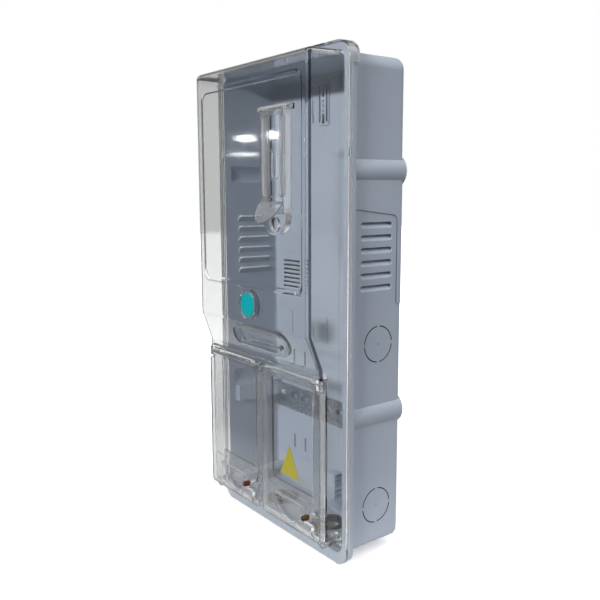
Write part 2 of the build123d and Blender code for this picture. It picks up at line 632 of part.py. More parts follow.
def base_box():
    band, band_hollow = side_bands()
    hoods, scoops = louvres()
    body = tray_block(0, FLANGE_FRONT_Y)
    body += plate(flange_outline(0), FLANGE_BACK_Y, FLANGE_FRONT_Y)
    body += plate(flange_outline(0) - flange_outline(LIP_T), LIP_BACK_Y, FLANGE_FRONT_Y)
    body += both_sides(band) + both_sides(louvre_pad())
    body -= tray_hollow()
    body -= both_sides(band_hollow)
    body += both_sides(hoods)
    body -= both_sides(scoops) + both_sides(knockouts())
    body += back_wall_relief() + rail_seats() + cable_support() + cover_ears()
    for side in (-1, 1):
        body += rod_y(POST_R, side * CORNER_X, CORNER_Z, TRAY_FLOOR_Y, FLANGE_FRONT_Y)
        body -= rod_y(POST_HOLE_R, side * CORNER_X, CORNER_Z, FLANGE_FRONT_Y + POST_HOLE_DEPTH,
                      FLANGE_FRONT_Y - BEYOND)
        hole = Pos(side * CABLE_X, -CABLE_DEPTH, TRAY_FOOT_Z) * Cylinder(CABLE_HOLE_R, BEYOND)
        body -= hole
    for x in RAIL_SCREW_X:
        tip_y = RAIL_BACK_Y - RAIL_T + RAIL_SCREW_LENGTH
        body -= rod_y(RAIL_SCREW_R + PIN_PLAY / 2, x, RAIL_Z, tip_y + PIN_PLAY, RAIL_BACK_Y)
    return body - back_wall_cuts()


def cable_sleeve(x):
    """A soft ring that grips the edge of a cable hole."""
    wall_low = TRAY_FOOT_Z - SLEEVE_GAP
    wall_high = TRAY_FOOT_Z + TRAY_WALL + SLEEVE_GAP
    neck_r = CABLE_HOLE_R - SLEEVE_GAP
    lip_r = CABLE_HOLE_R + SLEEVE_LIP
    section = make_face(Polyline(
        (SLEEVE_BORE_R, wall_low - SLEEVE_LIP_T), (lip_r, wall_low - SLEEVE_LIP_T), (lip_r, wall_low),
        (neck_r, wall_low), (neck_r, wall_high), (lip_r, wall_high), (lip_r, wall_high + SLEEVE_LIP_T),
        (SLEEVE_BORE_R, wall_high + SLEEVE_LIP_T), close=True))
    return Pos(x, -CABLE_DEPTH, 0) * revolve(Plane.XZ * section, axis=Axis.Z)


def din_rail():
    half = RAIL_HEIGHT / 2
    crown = RAIL_CROWN / 2
    back = RAIL_BACK_Y
    front = RAIL_FRONT_Y
    section = make_face(Polyline(
        (front, half), (front + RAIL_T, half), (front + RAIL_T, crown), (back, crown), (back, -crown),
        (front + RAIL_T, -crown), (front + RAIL_T, -half), (front, -half), (front, -crown + RAIL_T),
        (back - RAIL_T, -crown + RAIL_T), (back - RAIL_T, crown - RAIL_T), (front, crown - RAIL_T),
        close=True))
    rail = side_plate(Pos(0, RAIL_Z) * section, -RAIL_HALF, RAIL_HALF)
    slots = Sketch()
    for slot in range(-RAIL_SLOTS, RAIL_SLOTS + 1):
        slots += Pos(slot * RAIL_SLOT_PITCH, RAIL_Z) * SlotOverall(RAIL_SLOT_LENGTH, RAIL_SLOT_WIDTH)
    return rail - plate(slots, RAIL_BACK_Y + BEYOND, RAIL_FRONT_Y - BEYOND)


def rail_screws():
    seat_y = RAIL_BACK_Y - RAIL_T
    head_y = seat_y - RAIL_SCREW_HEAD
    bar = Rectangle(RAIL_SCREW_CROSS, RAIL_SCREW_CROSS_WIDTH)
    cross = bar + Rot(0, 0, 90) * bar
    screws = Part()
    for x in RAIL_SCREW_X:
        screw = rod_y(RAIL_SCREW_HEAD_R, x, RAIL_Z, seat_y, head_y)
        screw = fillet(screw.edges().sort_by(Axis.Y)[0], RAIL_SCREW_HEAD / 2)
        screw -= plate(Pos(x, RAIL_Z) * cross, head_y + RAIL_SCREW_CROSS_DEPTH, head_y)
        screws += screw + rod_y(RAIL_SCREW_R, x, RAIL_Z, seat_y + RAIL_SCREW_LENGTH, seat_y)
    return screws


def cover_hinge_pins():
    reach = COVER_KNUCKLE_WIDTH / 2 + SIDE_PLAY + COVER_EAR_T
    x0 = COVER_HINGE_X - reach
    x1 = COVER_HINGE_X + reach
    return both_sides(rod_x(COVER_PIN_R, COVER_AXIS_Y, COVER_AXIS_Z, x0, x1))


def cover_form(inset):
    """The cover's body in front of the rim, or its hollow when inset by the wall."""
    back_y = RIM_BACK_Y + inset
    outline = make_face(Polyline(
        (back_y, COVER_TOP_Z), (METER_FACE_Y, COVER_TOP_Z), (METER_FACE_Y, STEP_TOP_Z),
        (DOOR_FACE_Y, STEP_FOOT_Z), (DOOR_FACE_Y, LIP_FOOT_Z), (LEDGE_FACE_Y, LIP_FOOT_Z),
        (LEDGE_FACE_Y, COVER_BOTTOM_Z), (back_y, COVER_FOOT_Z), close=True))
    if inset:
        outline = offset(outline, amount=-inset, kind=Kind.INTERSECTION)
    wide = COVER_SIDE - inset
    narrow = COVER_SIDE - COVER_SIDE_LEAN - inset
    lean = make_face(Polyline((-wide, RIM_BACK_Y), (-narrow, METER_FACE_Y), (narrow, METER_FACE_Y),
                              (wide, RIM_BACK_Y), close=True))
    prism = extrude(Plane.XY.offset(BOX_FOOT_Z) * lean, amount=BOX_HEIGHT)
    return side_plate(outline, -COVER_SIDE, COVER_SIDE) & prism


def rounded_cover_form(inset):
    """The same form with its front edges rounded, apart from those of the ledge behind the doors."""
    solid = cover_form(inset)
    ledge_top_z = LIP_FOOT_Z + inset + CUT_LAP
    ledge_foot_z = COVER_BOTTOM_Z + inset + COVER_EDGE_R
    ahead = [edge for edge in solid.edges() if edge.center().Y < RIM_FRONT_Y]
    rounded = [edge for edge in ahead if not ledge_foot_z < edge.center().Z < ledge_top_z]
    return fillet(rounded, COVER_EDGE_R - inset)


def rim_outline(inset):
    return RectangleRounded(BOX_WIDTH - 2 * inset, BOX_HEIGHT - 2 * inset, RIM_CORNER_R - inset)


def cover_rim():
    """Flat rim with a skirt along the sides and a deeper hood around the top."""
    rim = plate(rim_outline(0), RIM_BACK_Y, RIM_FRONT_Y)
    ring = rim_outline(0) - rim_outline(SKIRT_T)
    half_w = BOX_WIDTH / 2
    skirt = plate(ring, RIM_FRONT_Y + SKIRT_DEPTH, RIM_FRONT_Y)
    skirt -= block(-half_w, half_w, RIM_BACK_Y, 0, BOX_FOOT_Z, BOX_FOOT_Z + SKIRT_LIFT)
    hood = plate(ring, RIM_FRONT_Y + HOOD_DEPTH, RIM_FRONT_Y)
    hood &= block(-half_w, half_w, RIM_FRONT_Y, 0, BOX_TOP_Z - HOOD_RETURN, BOX_TOP_Z)
    catch_y = RIM_FRONT_Y + SKIRT_DEPTH - CATCH_DEPTH / 2
    catch_z = BOX_TOP_Z - CATCH_DROP
    catch = block(half_w - 2 * SKIRT_T, half_w + SKIRT_T, catch_y - CATCH_DEPTH / 2, catch_y,
                  catch_z - CATCH_HEIGHT / 2, catch_z + CATCH_HEIGHT / 2)
    return rim + (skirt - both_sides(catch)) + hood


def cover_knuckles():
    """Tongues behind the hood that turn on the tray's pins."""
    x0 = COVER_HINGE_X - COVER_KNUCKLE_WIDTH / 2
    x1 = COVER_HINGE_X + COVER_KNUCKLE_WIDTH / 2
    knuckle = rod_x(COVER_KNUCKLE_R, COVER_AXIS_Y, COVER_AXIS_Z, x0, x1)
    root_y = RIM_FRONT_Y + HOOD_DEPTH - SKIRT_T
    knuckle += block(x0, x1, root_y, COVER_AXIS_Y, BOX_TOP_Z - SKIRT_T, BOX_TOP_Z - HINGE_TOP_GAP)
    return both_sides(knuckle - rod_x(COVER_PIN_R + PIN_PLAY, COVER_AXIS_Y, COVER_AXIS_Z, x0, x1))


def window_step(grow):
    """Sunk field of the meter window, with sloping borders, at the cover's face."""
    def field(slope, y):
        plane = Plane(origin=(0, y, 0), x_dir=(1, 0, 0), z_dir=(0, -1, 0))
        side = WINDOW_SIDE - slope * WINDOW_SLOPE_X + grow
        outline = rounded_outline(-side, side, WINDOW_FOOT_Z + slope * WINDOW_SLOPE_Z - grow,
                                  WINDOW_TOP_Z - slope * WINDOW_SLOPE_Z + grow, WINDOW_CORNER_R)
        return plane * outline
    return loft([field(0, METER_FACE_Y + grow), field(1, METER_FACE_Y + WINDOW_STEP + grow)])


def pocket_face():
    """The plane of the sloping step, at the pocket's middle."""
    middle_y = (METER_FACE_Y + DOOR_FACE_Y) / 2
    middle_z = (STEP_TOP_Z + STEP_FOOT_Z) / 2
    tilt = degrees(atan2(METER_RISE - DOOR_RISE, STEP_HEIGHT))
    upright = Plane(origin=(POCKET_X, middle_y, middle_z), x_dir=(1, 0, 0), z_dir=(0, -1, 0))
    return upright.rotated((tilt, 0, 0))


def pocket_form(grow):
    """Stadium pocket in the sloping step, or its outside when grown by the wall."""
    face = pocket_face()
    outline = Pos(0, POCKET_SHIFT) * SlotOverall(POCKET_WIDTH + 2 * grow, POCKET_HEIGHT + 2 * grow)
    return extrude(face * outline, amount=-(POCKET_DEPTH + grow))


def pocket_bar():
    """The bar across the foot of the pocket, between two round posts."""
    face = pocket_face()
    shift = POCKET_SHIFT + POCKET_BAR_SHIFT
    half = POCKET_BAR_LENGTH / 2
    on_end = (Align.CENTER, Align.CENTER, Align.MIN)
    start = face * Pos(-half, shift, -POCKET_DEPTH / 2)
    bar = start * Rot(0, 90, 0) * Cylinder(POCKET_BAR_R, POCKET_BAR_LENGTH, align=on_end)
    for side in (-1, 1):
        post = face * Pos(side * half, shift, -POCKET_DEPTH)
        bar += post * Cylinder(POCKET_POST_R, POCKET_POST_LENGTH, align=on_end)
    return bar


def flap_staple():
    """Half-round boss under the flap's foot, with a round hollow for a fingertip."""
    top_z = FLAP_FOOT_Z - STAPLE_GAP
    half = FLAP_WIDTH / 2
    below = Pos(FLAP_X, top_z - half) * Rectangle(2 * FLAP_WIDTH, FLAP_WIDTH)
    outside = (Pos(FLAP_X, top_z) * Circle(half)) & below
    hollow = Pos(FLAP_X, top_z - half / 2) * Circle(STAPLE_HOLLOW_R)
    boss = plate(outside, WINDOW_FACE_Y, WINDOW_FACE_Y - STAPLE_RISE)
    return boss - plate(hollow, WINDOW_FACE_Y - STAPLE_FLOOR, WINDOW_FACE_Y - STAPLE_RISE)


def flap_ears():
    """Ears on the upper face that carry the flap's pin."""
    ears = Part()
    reach = FLAP_WIDTH / 2 + SIDE_PLAY
    for x0 in (FLAP_X + reach, FLAP_X - reach - FLAP_EAR_T):
        x1 = x0 + FLAP_EAR_T
        ear = rod_x(FLAP_KNUCKLE_R, FLAP_AXIS_Y, FLAP_AXIS_Z, x0, x1)
        ear += block(x0, x1, FLAP_AXIS_Y, METER_BACK_Y, FLAP_AXIS_Z - FLAP_KNUCKLE_R, FLAP_TOP_Z)
        ears += ear - rod_x(FLAP_PIN_R + PIN_PLAY / 2, FLAP_AXIS_Y, FLAP_AXIS_Z, x0, x1)
    return ears


def flap_opening():
    side = FLAP_WIDTH / 2 - FLAP_MARGIN
    return rounded_outline(FLAP_X - side, FLAP_X + side, FLAP_FOOT_Z + FLAP_MARGIN,
                           FLAP_AXIS_Z - 2 * FLAP_KNUCKLE_R, FLAP_WALL)


def breaker_opening(side):
    left_x = DOOR_LEFT_X[side]
    margins = (OPENING_MARGIN_MID, OPENING_MARGIN_SIDE)
    left_margin, right_margin = margins if side == "right" else reversed(margins)
    outline = rounded_outline(left_x + left_margin, left_x + DOOR_WIDTH - right_margin,
                              COVER_BOTTOM_Z + OPENING_LIFT, DOOR_TOP_Z - OPENING_DROP, COVER_WALL)
    return plate(outline, LEDGE_BACK_Y + COVER_WALL, LEDGE_FACE_Y - COVER_WALL)


def door_bosses():
    """Hinge bosses on the ledge, at both ends of each door."""
    bosses = Part()
    low_z = DOOR_AXIS_Z - HINGE_BOSS_DROP
    for left_x in DOOR_LEFT_X.values():
        for x0 in (left_x, left_x + DOOR_WIDTH - DOOR_NOTCH + SIDE_PLAY):
            x1 = x0 + DOOR_NOTCH - SIDE_PLAY
            boss = block(x0, x1, DOOR_FACE_Y + DOOR_EDGE_R, LEDGE_BACK_Y, low_z, LIP_FOOT_Z)
            bosses += boss - rod_x(DOOR_PIN_R + PIN_PLAY / 2, DOOR_AXIS_Y, DOOR_AXIS_Z, x0, x1)
    return bosses


def screw_x(side):
    return DOOR_LEFT_X[side] + DOOR_WIDTH - SCREW_EDGE


def front_cover():
    cover = rounded_cover_form(0) + cover_rim() - rounded_cover_form(COVER_WALL)
    inner = block(-COVER_SIDE, COVER_SIDE, METER_FACE_Y, METER_BACK_Y + COVER_WALL, STEP_TOP_Z, COVER_TOP_Z)
    cover += window_step(COVER_WALL) & inner
    cover -= window_step(0)
    cover += pocket_form(COVER_WALL) - pocket_form(0)
    cover -= pocket_form(0)
    cover += pocket_bar()
    cover += flap_staple() + flap_ears()
    cover -= plate(flap_opening(), METER_BACK_Y + BEYOND, METER_FACE_Y - BEYOND)
    ring_r = BUTTON_R + BUTTON_PLAY
    stem_r = BUTTON_STEM_R + STEM_PLAY
    cover += rod_y(ring_r + RING_WALL, BUTTON_X, BUTTON_Z, METER_BACK_Y, METER_FACE_Y - RING_RISE)
    cover -= rod_y(ring_r, BUTTON_X, BUTTON_Z, METER_FACE_Y, METER_FACE_Y - BEYOND)
    cover -= rod_y(stem_r, BUTTON_X, BUTTON_Z, METER_BACK_Y + BEYOND, METER_FACE_Y - BEYOND)
    for side in (-1, 1):
        cover += rod_y(CORNER_BOSS_R, side * CORNER_X, CORNER_Z, RIM_BACK_Y, LEDGE_FACE_Y + SEAT_GAP)
        cover -= rod_y(CORNER_HOLE_R, side * CORNER_X, CORNER_Z, RIM_BACK_Y, LEDGE_FACE_Y - BEYOND)
    cover += door_bosses()
    for name in DOOR_LEFT_X:
        x = screw_x(name)
        cover -= breaker_opening(name)
        cover += rod_y(THREAD_BOSS_R, x, SCREW_Z, LEDGE_FACE_Y + THREAD_BOSS, LEDGE_FACE_Y)
        cover -= rod_y(THREAD_HOLE_R, x, SCREW_Z, LEDGE_FACE_Y + THREAD_BOSS, LEDGE_FACE_Y)
    return cover + cover_knuckles()


def push_button():
    face_y = METER_FACE_Y - RING_RISE
    button = rod_y(BUTTON_R, BUTTON_X, BUTTON_Z, face_y + BUTTON_CAP, face_y)
    button = fillet(button.edges().sort_by(Axis.Y)[0], BUTTON_EDGE_R)
    button += rod_y(BUTTON_STEM_R, BUTTON_X, BUTTON_Z, METER_BACK_Y + STEM_TAIL, face_y + BUTTON_CAP)
    neck_r = BUTTON_STEM_R - CLIP_T
    clip_y = METER_BACK_Y + SEAT_GAP
    groove = rod_y(2 * BUTTON_STEM_R, BUTTON_X, BUTTON_Z, clip_y + CLIP_T + SLEEVE_GAP, clip_y - SLEEVE_GAP)
    return button - (groove - rod_y(neck_r, BUTTON_X, BUTTON_Z, clip_y + 2 * CLIP_T, clip_y - CLIP_T))


def button_clip():
    """Spring clip in the stem's groove, behind the cover's face."""
    clip_y = METER_BACK_Y + SEAT_GAP
    neck_r = BUTTON_STEM_R - CLIP_T + PIN_PLAY
    ring = Circle(CLIP_R) - Circle(neck_r)
    ring -= Pos(0, -CLIP_R) * Rectangle(CLIP_SLIT, 2 * CLIP_R)
    return plate(Pos(BUTTON_X, BUTTON_Z) * ring, clip_y + CLIP_T, clip_y)


def button_spring():
    """Light spring between the cover's face and the cap, of fine wire drawn six-sided."""
    cap_y = METER_FACE_Y - RING_RISE + BUTTON_CAP
    length = METER_FACE_Y - cap_y - 2 * SPRING_WIRE_R - 2 * SLEEVE_GAP
    path = Helix(pitch=length / SPRING_TURNS, height=length, radius=SPRING_R)
    wire = sweep(Plane(path @ 0, z_dir=path % 0) * RegularPolygon(SPRING_WIRE_R, 6), path=path)
    return Pos(BUTTON_X, METER_FACE_Y - SPRING_WIRE_R - SLEEVE_GAP, BUTTON_Z) * Rot(90, 0, 0) * wire


def flap_pane(grow):
    """The sunk pane inside the flap's frame, or its outside when grown by the wall."""
    side = FLAP_WIDTH / 2 - FLAP_PANE_MARGIN + grow
    outline = rounded_outline(FLAP_X - side, FLAP_X + side, FLAP_FOOT_Z + FLAP_PANE_LIFT - grow,
                              FLAP_TOP_Z - FLAP_PANE_DROP + grow, FLAP_PANE_CORNER_R + grow)
    return plate(outline, FLAP_FACE_Y + FLAP_PANE_STEP + grow, FLAP_FACE_Y)


def access_flap():
    x0 = FLAP_X - FLAP_WIDTH / 2
    x1 = FLAP_X + FLAP_WIDTH / 2
    rear_y = WINDOW_FACE_Y - SEAT_GAP
    pane_y = FLAP_FACE_Y + FLAP_PANE_STEP
    shell = block(x0, x1, FLAP_FACE_Y, rear_y, FLAP_FOOT_Z, FLAP_AXIS_Z)
    face_edges = shell.faces().sort_by(Axis.Y)[0].edges()
    knuckle_z = FLAP_AXIS_Z - FLAP_KNUCKLE_R
    flap = fillet([edge for edge in face_edges if edge.center().Z < knuckle_z], FLAP_EDGE_R)
    flap -= block(x0 + FLAP_WALL, x1 - FLAP_WALL, FLAP_FACE_Y + FLAP_WALL, rear_y + BEYOND,
                  FLAP_FOOT_Z + FLAP_WALL, FLAP_AXIS_Z + BEYOND)
    flap += flap_pane(FLAP_WALL)
    flap -= flap_pane(0)
    flap += rod_x(FLAP_KNUCKLE_R, FLAP_AXIS_Y, FLAP_AXIS_Z, x0, x1)
    flap += block(x0, x1, FLAP_FACE_Y, FLAP_AXIS_Y, knuckle_z, FLAP_AXIS_Z)
    upright = Pos(FLAP_X, FLAP_FOOT_Z + FLAP_SLOT_LIFT) * Rot(0, 0, 90)
    collar = upright * SlotOverall(FLAP_SLOT_LENGTH + 2 * FLAP_COLLAR, FLAP_SLOT_WIDTH + 2 * FLAP_COLLAR)
    slot = upright * SlotOverall(FLAP_SLOT_LENGTH, FLAP_SLOT_WIDTH)
    flap += plate(collar, pane_y, pane_y - FLAP_COLLAR_RISE)
    flap -= plate(slot, FLAP_FACE_Y + BEYOND, FLAP_FACE_Y - BEYOND)
    flap += flap_tongue()
    return flap - rod_x(FLAP_PIN_R + PIN_PLAY, FLAP_AXIS_Y, FLAP_AXIS_Z, x0, x1)


def flap_tongue():
    """Half-round lip that leans forward from the flap's face, to lift it by."""
    length = hypot(TONGUE_REACH, TONGUE_DROP)
    lean = degrees(atan2(TONGUE_REACH, TONGUE_DROP))
    upright = Plane(origin=(FLAP_X, FLAP_FACE_Y, TONGUE_Z), x_dir=(1, 0, 0), z_dir=(0, -1, 0))
    below = Pos(0, -length) * Rectangle(FLAP_WIDTH, 2 * length)
    outline = Ellipse(FLAP_WIDTH / 2, length) & below
    tongue = extrude(upright.rotated((-lean, 0, 0)) * outline, amount=-TONGUE_T)
    return fillet(tongue.edges().sort_by(SortBy.LENGTH)[-2:], TONGUE_EDGE_R)


def flap_pin():
    reach = FLAP_WIDTH / 2 + SIDE_PLAY + FLAP_EAR_T
    return rod_x(FLAP_PIN_R, FLAP_AXIS_Y, FLAP_AXIS_Z, FLAP_X - reach, FLAP_X + reach)


def door(side):
    left_x = DOOR_LEFT_X[side]
    right_x = left_x + DOOR_WIDTH
    outline = rounded_outline(left_x, right_x, COVER_BOTTOM_Z, DOOR_TOP_Z + BEYOND, DOOR_CORNER_R)
    inside = rounded_outline(left_x + DOOR_WALL, right_x - DOOR_WALL, COVER_BOTTOM_Z + DOOR_WALL,
                             DOOR_TOP_Z + BEYOND, DOOR_CORNER_R - DOOR_WALL)
    body = plate(outline, DOOR_REAR_Y, DOOR_FACE_Y)
    body = fillet(body.faces().sort_by(Axis.Y)[0].edges(), DOOR_EDGE_R)
    body -= plate(inside, DOOR_REAR_Y + BEYOND, DOOR_FACE_Y + DOOR_WALL)
    body -= block(left_x, right_x, DOOR_FACE_Y, DOOR_REAR_Y, DOOR_AXIS_Z, DOOR_TOP_Z + BEYOND)
    notch_z = DOOR_TOP_Z - DOOR_NOTCH_HEIGHT
    for x0 in (left_x, right_x - DOOR_NOTCH):
        body -= block(x0, x0 + DOOR_NOTCH, DOOR_FACE_Y, DOOR_REAR_Y, notch_z, DOOR_TOP_Z)
    knuckle0 = left_x + DOOR_NOTCH
    knuckle1 = right_x - DOOR_NOTCH
    body += rod_x(DOOR_KNUCKLE_R, DOOR_AXIS_Y, DOOR_AXIS_Z, knuckle0, knuckle1)
    pane = rounded_outline(left_x + PANE_MARGIN_X, right_x - PANE_MARGIN_X, PANE_FOOT_Z,
                           DOOR_TOP_Z - PANE_DROP, DOOR_WALL)
    body -= plate(pane, DOOR_FACE_Y + PANE_STEP, DOOR_FACE_Y)
    body += door_grip(side, GRIP_WALL)
    body -= door_grip(side, 0)
    body += seal_lug(right_x)
    x = screw_x(side)
    body += rod_y(SCREW_BOSS_R, x, SCREW_Z, DOOR_FACE_Y + SCREW_BOSS, DOOR_FACE_Y)
    body -= rod_y(SCREW_R + SCREW_PLAY, x, SCREW_Z, DOOR_REAR_Y, DOOR_FACE_Y - BEYOND)
    for x0, x1 in ((knuckle0, knuckle0 + DOOR_PIN_LENGTH), (knuckle1 - DOOR_PIN_LENGTH, knuckle1)):
        body -= rod_x(DOOR_PIN_R + PIN_PLAY, DOOR_AXIS_Y, DOOR_AXIS_Z, x0, x1)
    return body


def door_grip(side, grow):
    """Finger pocket at a door's foot: flat above, round below."""
    x = screw_x(side) - GRIP_GAP - GRIP_WIDTH / 2
    top_z = COVER_BOTTOM_Z + GRIP_LIFT
    round_part = Pos(x, top_z) * Ellipse(GRIP_WIDTH / 2 + grow, GRIP_HEIGHT + grow)
    below = Pos(x, top_z - GRIP_HEIGHT + grow / 2) * Rectangle(2 * GRIP_WIDTH, 2 * GRIP_HEIGHT + grow)
    return plate(round_part & below, DOOR_FACE_Y + GRIP_DEPTH + grow, DOOR_FACE_Y)


def seal_lug(right_x):
    """Block on a door's face with a hole for sealing wire."""
    x1 = right_x - LUG_EDGE
    x0 = x1 - LUG_WIDTH
    top_z = COVER_BOTTOM_Z + LUG_LIFT
    outline = rounded_outline(x0, x1, top_z - LUG_HEIGHT, top_z, DOOR_WALL)
    lug = plate(outline, DOOR_FACE_Y + DOOR_WALL, DOOR_FACE_Y - LUG_RISE)
    return lug - rod_x(LUG_HOLE_R, DOOR_FACE_Y - LUG_RISE / 2, top_z - LUG_HEIGHT / 2, x0, x1)


def door_pins(side):
    left_x = DOOR_LEFT_X[side]
    right_x = left_x + DOOR_WIDTH
    length = DOOR_PIN_LENGTH + DOOR_NOTCH / 2
    pins = Part()
    for x0 in (left_x + SIDE_PLAY, right_x - SIDE_PLAY - length):
        pins += rod_x(DOOR_PIN_R, DOOR_AXIS_Y, DOOR_AXIS_Z, x0, x0 + length)
    return pins


def sealing_screw(side):
    x = screw_x(side)
    neck_y = DOOR_FACE_Y - SCREW_SHOWN
    head_y = neck_y - SCREW_HEAD
    head = rod_y(SCREW_HEAD_R, x, SCREW_Z, neck_y, head_y)
    head = fillet(head.edges().sort_by(Axis.Y)[0], SCREW_HEAD_EDGE_R)
    head -= block(x - SCREW_HEAD_R, x + SCREW_HEAD_R, head_y, head_y + SCREW_SLOT_DEPTH,
                  SCREW_Z - SCREW_SLOT / 2, SCREW_Z + SCREW_SLOT / 2)
    head -= rod_x(SEAL_HOLE_R, (neck_y + head_y) / 2, SCREW_Z, x - SCREW_HEAD_R, x + SCREW_HEAD_R)
    tip_y = DOOR_FACE_Y + SCREW_TAIL
    screw = head + rod_y(SCREW_R, x, SCREW_Z, tip_y, neck_y)
    ring_y = DOOR_FACE_Y + SCREW_BOSS + SEAT_GAP
    groove = rod_y(2 * SCREW_R, x, SCREW_Z, ring_y + RING_T + SLEEVE_GAP, ring_y - SLEEVE_GAP)
    return screw - (groove - rod_y(SCREW_R / 2, x, SCREW_Z, tip_y, neck_y))


def screw_ring(side):
    """Retaining ring in the screw's groove, behind the door."""
    ring_y = DOOR_FACE_Y + SCREW_BOSS + SEAT_GAP
    ring = Circle(RING_R) - Circle(SCREW_R / 2 + PIN_PLAY)
    ring -= Pos(0, -RING_R) * Rectangle(SCREW_R, 2 * RING_R)
    return plate(Pos(screw_x(side), SCREW_Z) * ring, ring_y + RING_T, ring_y)


def blank_sticker():
    half = STICKER_WIDTH / 2
    x = DOOR_LEFT_X["right"] + STICKER_SHIFT
    low_z = PANE_FOOT_Z + STICKER_LIFT
    outline = make_face(Polyline((x - half, low_z), (x + half, low_z), (x, low_z + STICKER_HEIGHT),
                                 close=True))
    pane_y = DOOR_FACE_Y + PANE_STEP
    return plate(outline, pane_y, pane_y - STICKER_T)


def main():
    nodes = {
        "base_box": base_box(),
        "left_cable_sleeve": cable_sleeve(-CABLE_X),
        "right_cable_sleeve": cable_sleeve(CABLE_X),
        "din_rail": din_rail(),
        "rail_screws": rail_screws(),
        "cover_hinge_pins": cover_hinge_pins(),
        "front_cover": front_cover(),
        "push_button": push_button(),
        "button_clip": button_clip(),
        "button_spring": button_spring(),
        "access_flap": access_flap(),
        "flap_pin": flap_pin(),
        "blank_sticker": blank_sticker(),
    }
    for side in DOOR_LEFT_X:
        nodes[side + "_door"] = door(side)
        nodes[side + "_door_pins"] = door_pins(side)
        nodes[side + "_sealing_screw"] = sealing_screw(side)
        nodes[side + "_screw_ring"] = screw_ring(side)
    os.makedirs("parts", exist_ok=True)
    for name, shape in nodes.items():
        export_step(shape, f"parts/{name}.step")
        print(name, round(shape.volume, 1))


main()
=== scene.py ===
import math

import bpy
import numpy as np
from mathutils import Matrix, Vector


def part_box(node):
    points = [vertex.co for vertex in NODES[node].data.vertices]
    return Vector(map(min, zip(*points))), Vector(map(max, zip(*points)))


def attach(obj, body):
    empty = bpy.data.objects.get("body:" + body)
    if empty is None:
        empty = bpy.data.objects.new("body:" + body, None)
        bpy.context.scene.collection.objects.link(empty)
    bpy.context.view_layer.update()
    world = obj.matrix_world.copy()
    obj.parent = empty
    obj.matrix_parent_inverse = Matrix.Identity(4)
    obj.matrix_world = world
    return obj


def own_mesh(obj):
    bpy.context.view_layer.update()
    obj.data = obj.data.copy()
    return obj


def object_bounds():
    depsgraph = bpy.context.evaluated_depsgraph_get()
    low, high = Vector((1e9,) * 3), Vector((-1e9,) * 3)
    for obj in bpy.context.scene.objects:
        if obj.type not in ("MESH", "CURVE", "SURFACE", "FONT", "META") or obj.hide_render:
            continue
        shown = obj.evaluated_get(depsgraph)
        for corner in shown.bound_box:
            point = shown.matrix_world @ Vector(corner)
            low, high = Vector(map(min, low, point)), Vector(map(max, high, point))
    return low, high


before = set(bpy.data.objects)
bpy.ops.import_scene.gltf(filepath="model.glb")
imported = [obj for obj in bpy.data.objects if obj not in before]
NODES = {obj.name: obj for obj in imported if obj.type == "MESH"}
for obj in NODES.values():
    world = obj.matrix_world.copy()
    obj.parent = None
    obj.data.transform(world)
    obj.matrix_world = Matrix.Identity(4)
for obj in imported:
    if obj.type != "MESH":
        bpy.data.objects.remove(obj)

# %% [markdown]
# # Electricity meter box with a clear cover
#
# The real object is a grey moulded tray for a wall. A clear cover swings over it from the top
# edge, and carries a push button, a small access flap and two clear doors over the breakers.
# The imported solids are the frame: they stay where they are. This notebook gives them their
# finishes, cuts the threads that the solids leave out, and then lights and films the box.
# Everything is in metres, with the front towards -Y and +Z up.

CAD_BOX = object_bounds()
MM = 0.001

# %% [markdown]
# ## Helpers for shader groups
#
# An effect that several finishes share is easiest to keep right when it is written once. In
# Blender that is a node group: a small tree with named sockets, which each material then holds
# as one node with its own values. These helpers make a group and the few nodes that recur in
# it. All textures read Object coordinates, so a pattern stays put when a piece swings.

# %% Group and texture helpers


def new_group(name, inputs, outputs):
    """An empty shader group with the given sockets, and its two end nodes."""
    tree = bpy.data.node_groups.new(name, "ShaderNodeTree")
    for label, kind, value in inputs:
        socket = tree.interface.new_socket(label, in_out="INPUT", socket_type=kind)
        socket.default_value = value
    for label, kind in outputs:
        tree.interface.new_socket(label, in_out="OUTPUT", socket_type=kind)
    start = tree.nodes.new("NodeGroupInput")
    end = tree.nodes.new("NodeGroupOutput")
    return tree, start, end


def noise(tree, scale, detail, roughness=0.5):
    """A noise texture read in the object's own coordinates."""
    place = tree.nodes.new("ShaderNodeTexCoord")
    texture = tree.nodes.new("ShaderNodeTexNoise")
    texture.inputs["Scale"].default_value = scale
    texture.inputs["Detail"].default_value = detail
    texture.inputs["Roughness"].default_value = roughness
    tree.links.new(place.outputs["Object"], texture.inputs["Vector"])
    return texture


def feed(tree, socket, value):
    """Gives a socket a plain value, or a link where the value is another socket."""
    if isinstance(value, bpy.types.NodeSocket):
        tree.links.new(value, socket)
    else:
        socket.default_value = value


def bump(tree, height, strength, distance, normal=None):
    """Turns a height into a shading normal, on top of another one where that is given."""
    node = tree.nodes.new("ShaderNodeBump")
    node.inputs["Distance"].default_value = distance
    feed(tree, node.inputs["Strength"], strength)
    tree.links.new(height, node.inputs["Height"])
    if normal is not None:
        tree.links.new(normal, node.inputs["Normal"])
    return node.outputs["Normal"]


def mixed(tree, factor, first, second):
    """A colour mix whose ends are a colour or a socket."""
    node = tree.nodes.new("ShaderNodeMix")
    node.data_type = "RGBA"
    tree.links.new(factor, node.inputs["Factor"])
    ends = [socket for socket in node.inputs if socket.type == "RGBA"]
    feed(tree, ends[0], first)
    feed(tree, ends[1], second)
    return next(socket for socket in node.outputs if socket.type == "RGBA")


print("group helpers ready")

# %% Arithmetic helpers


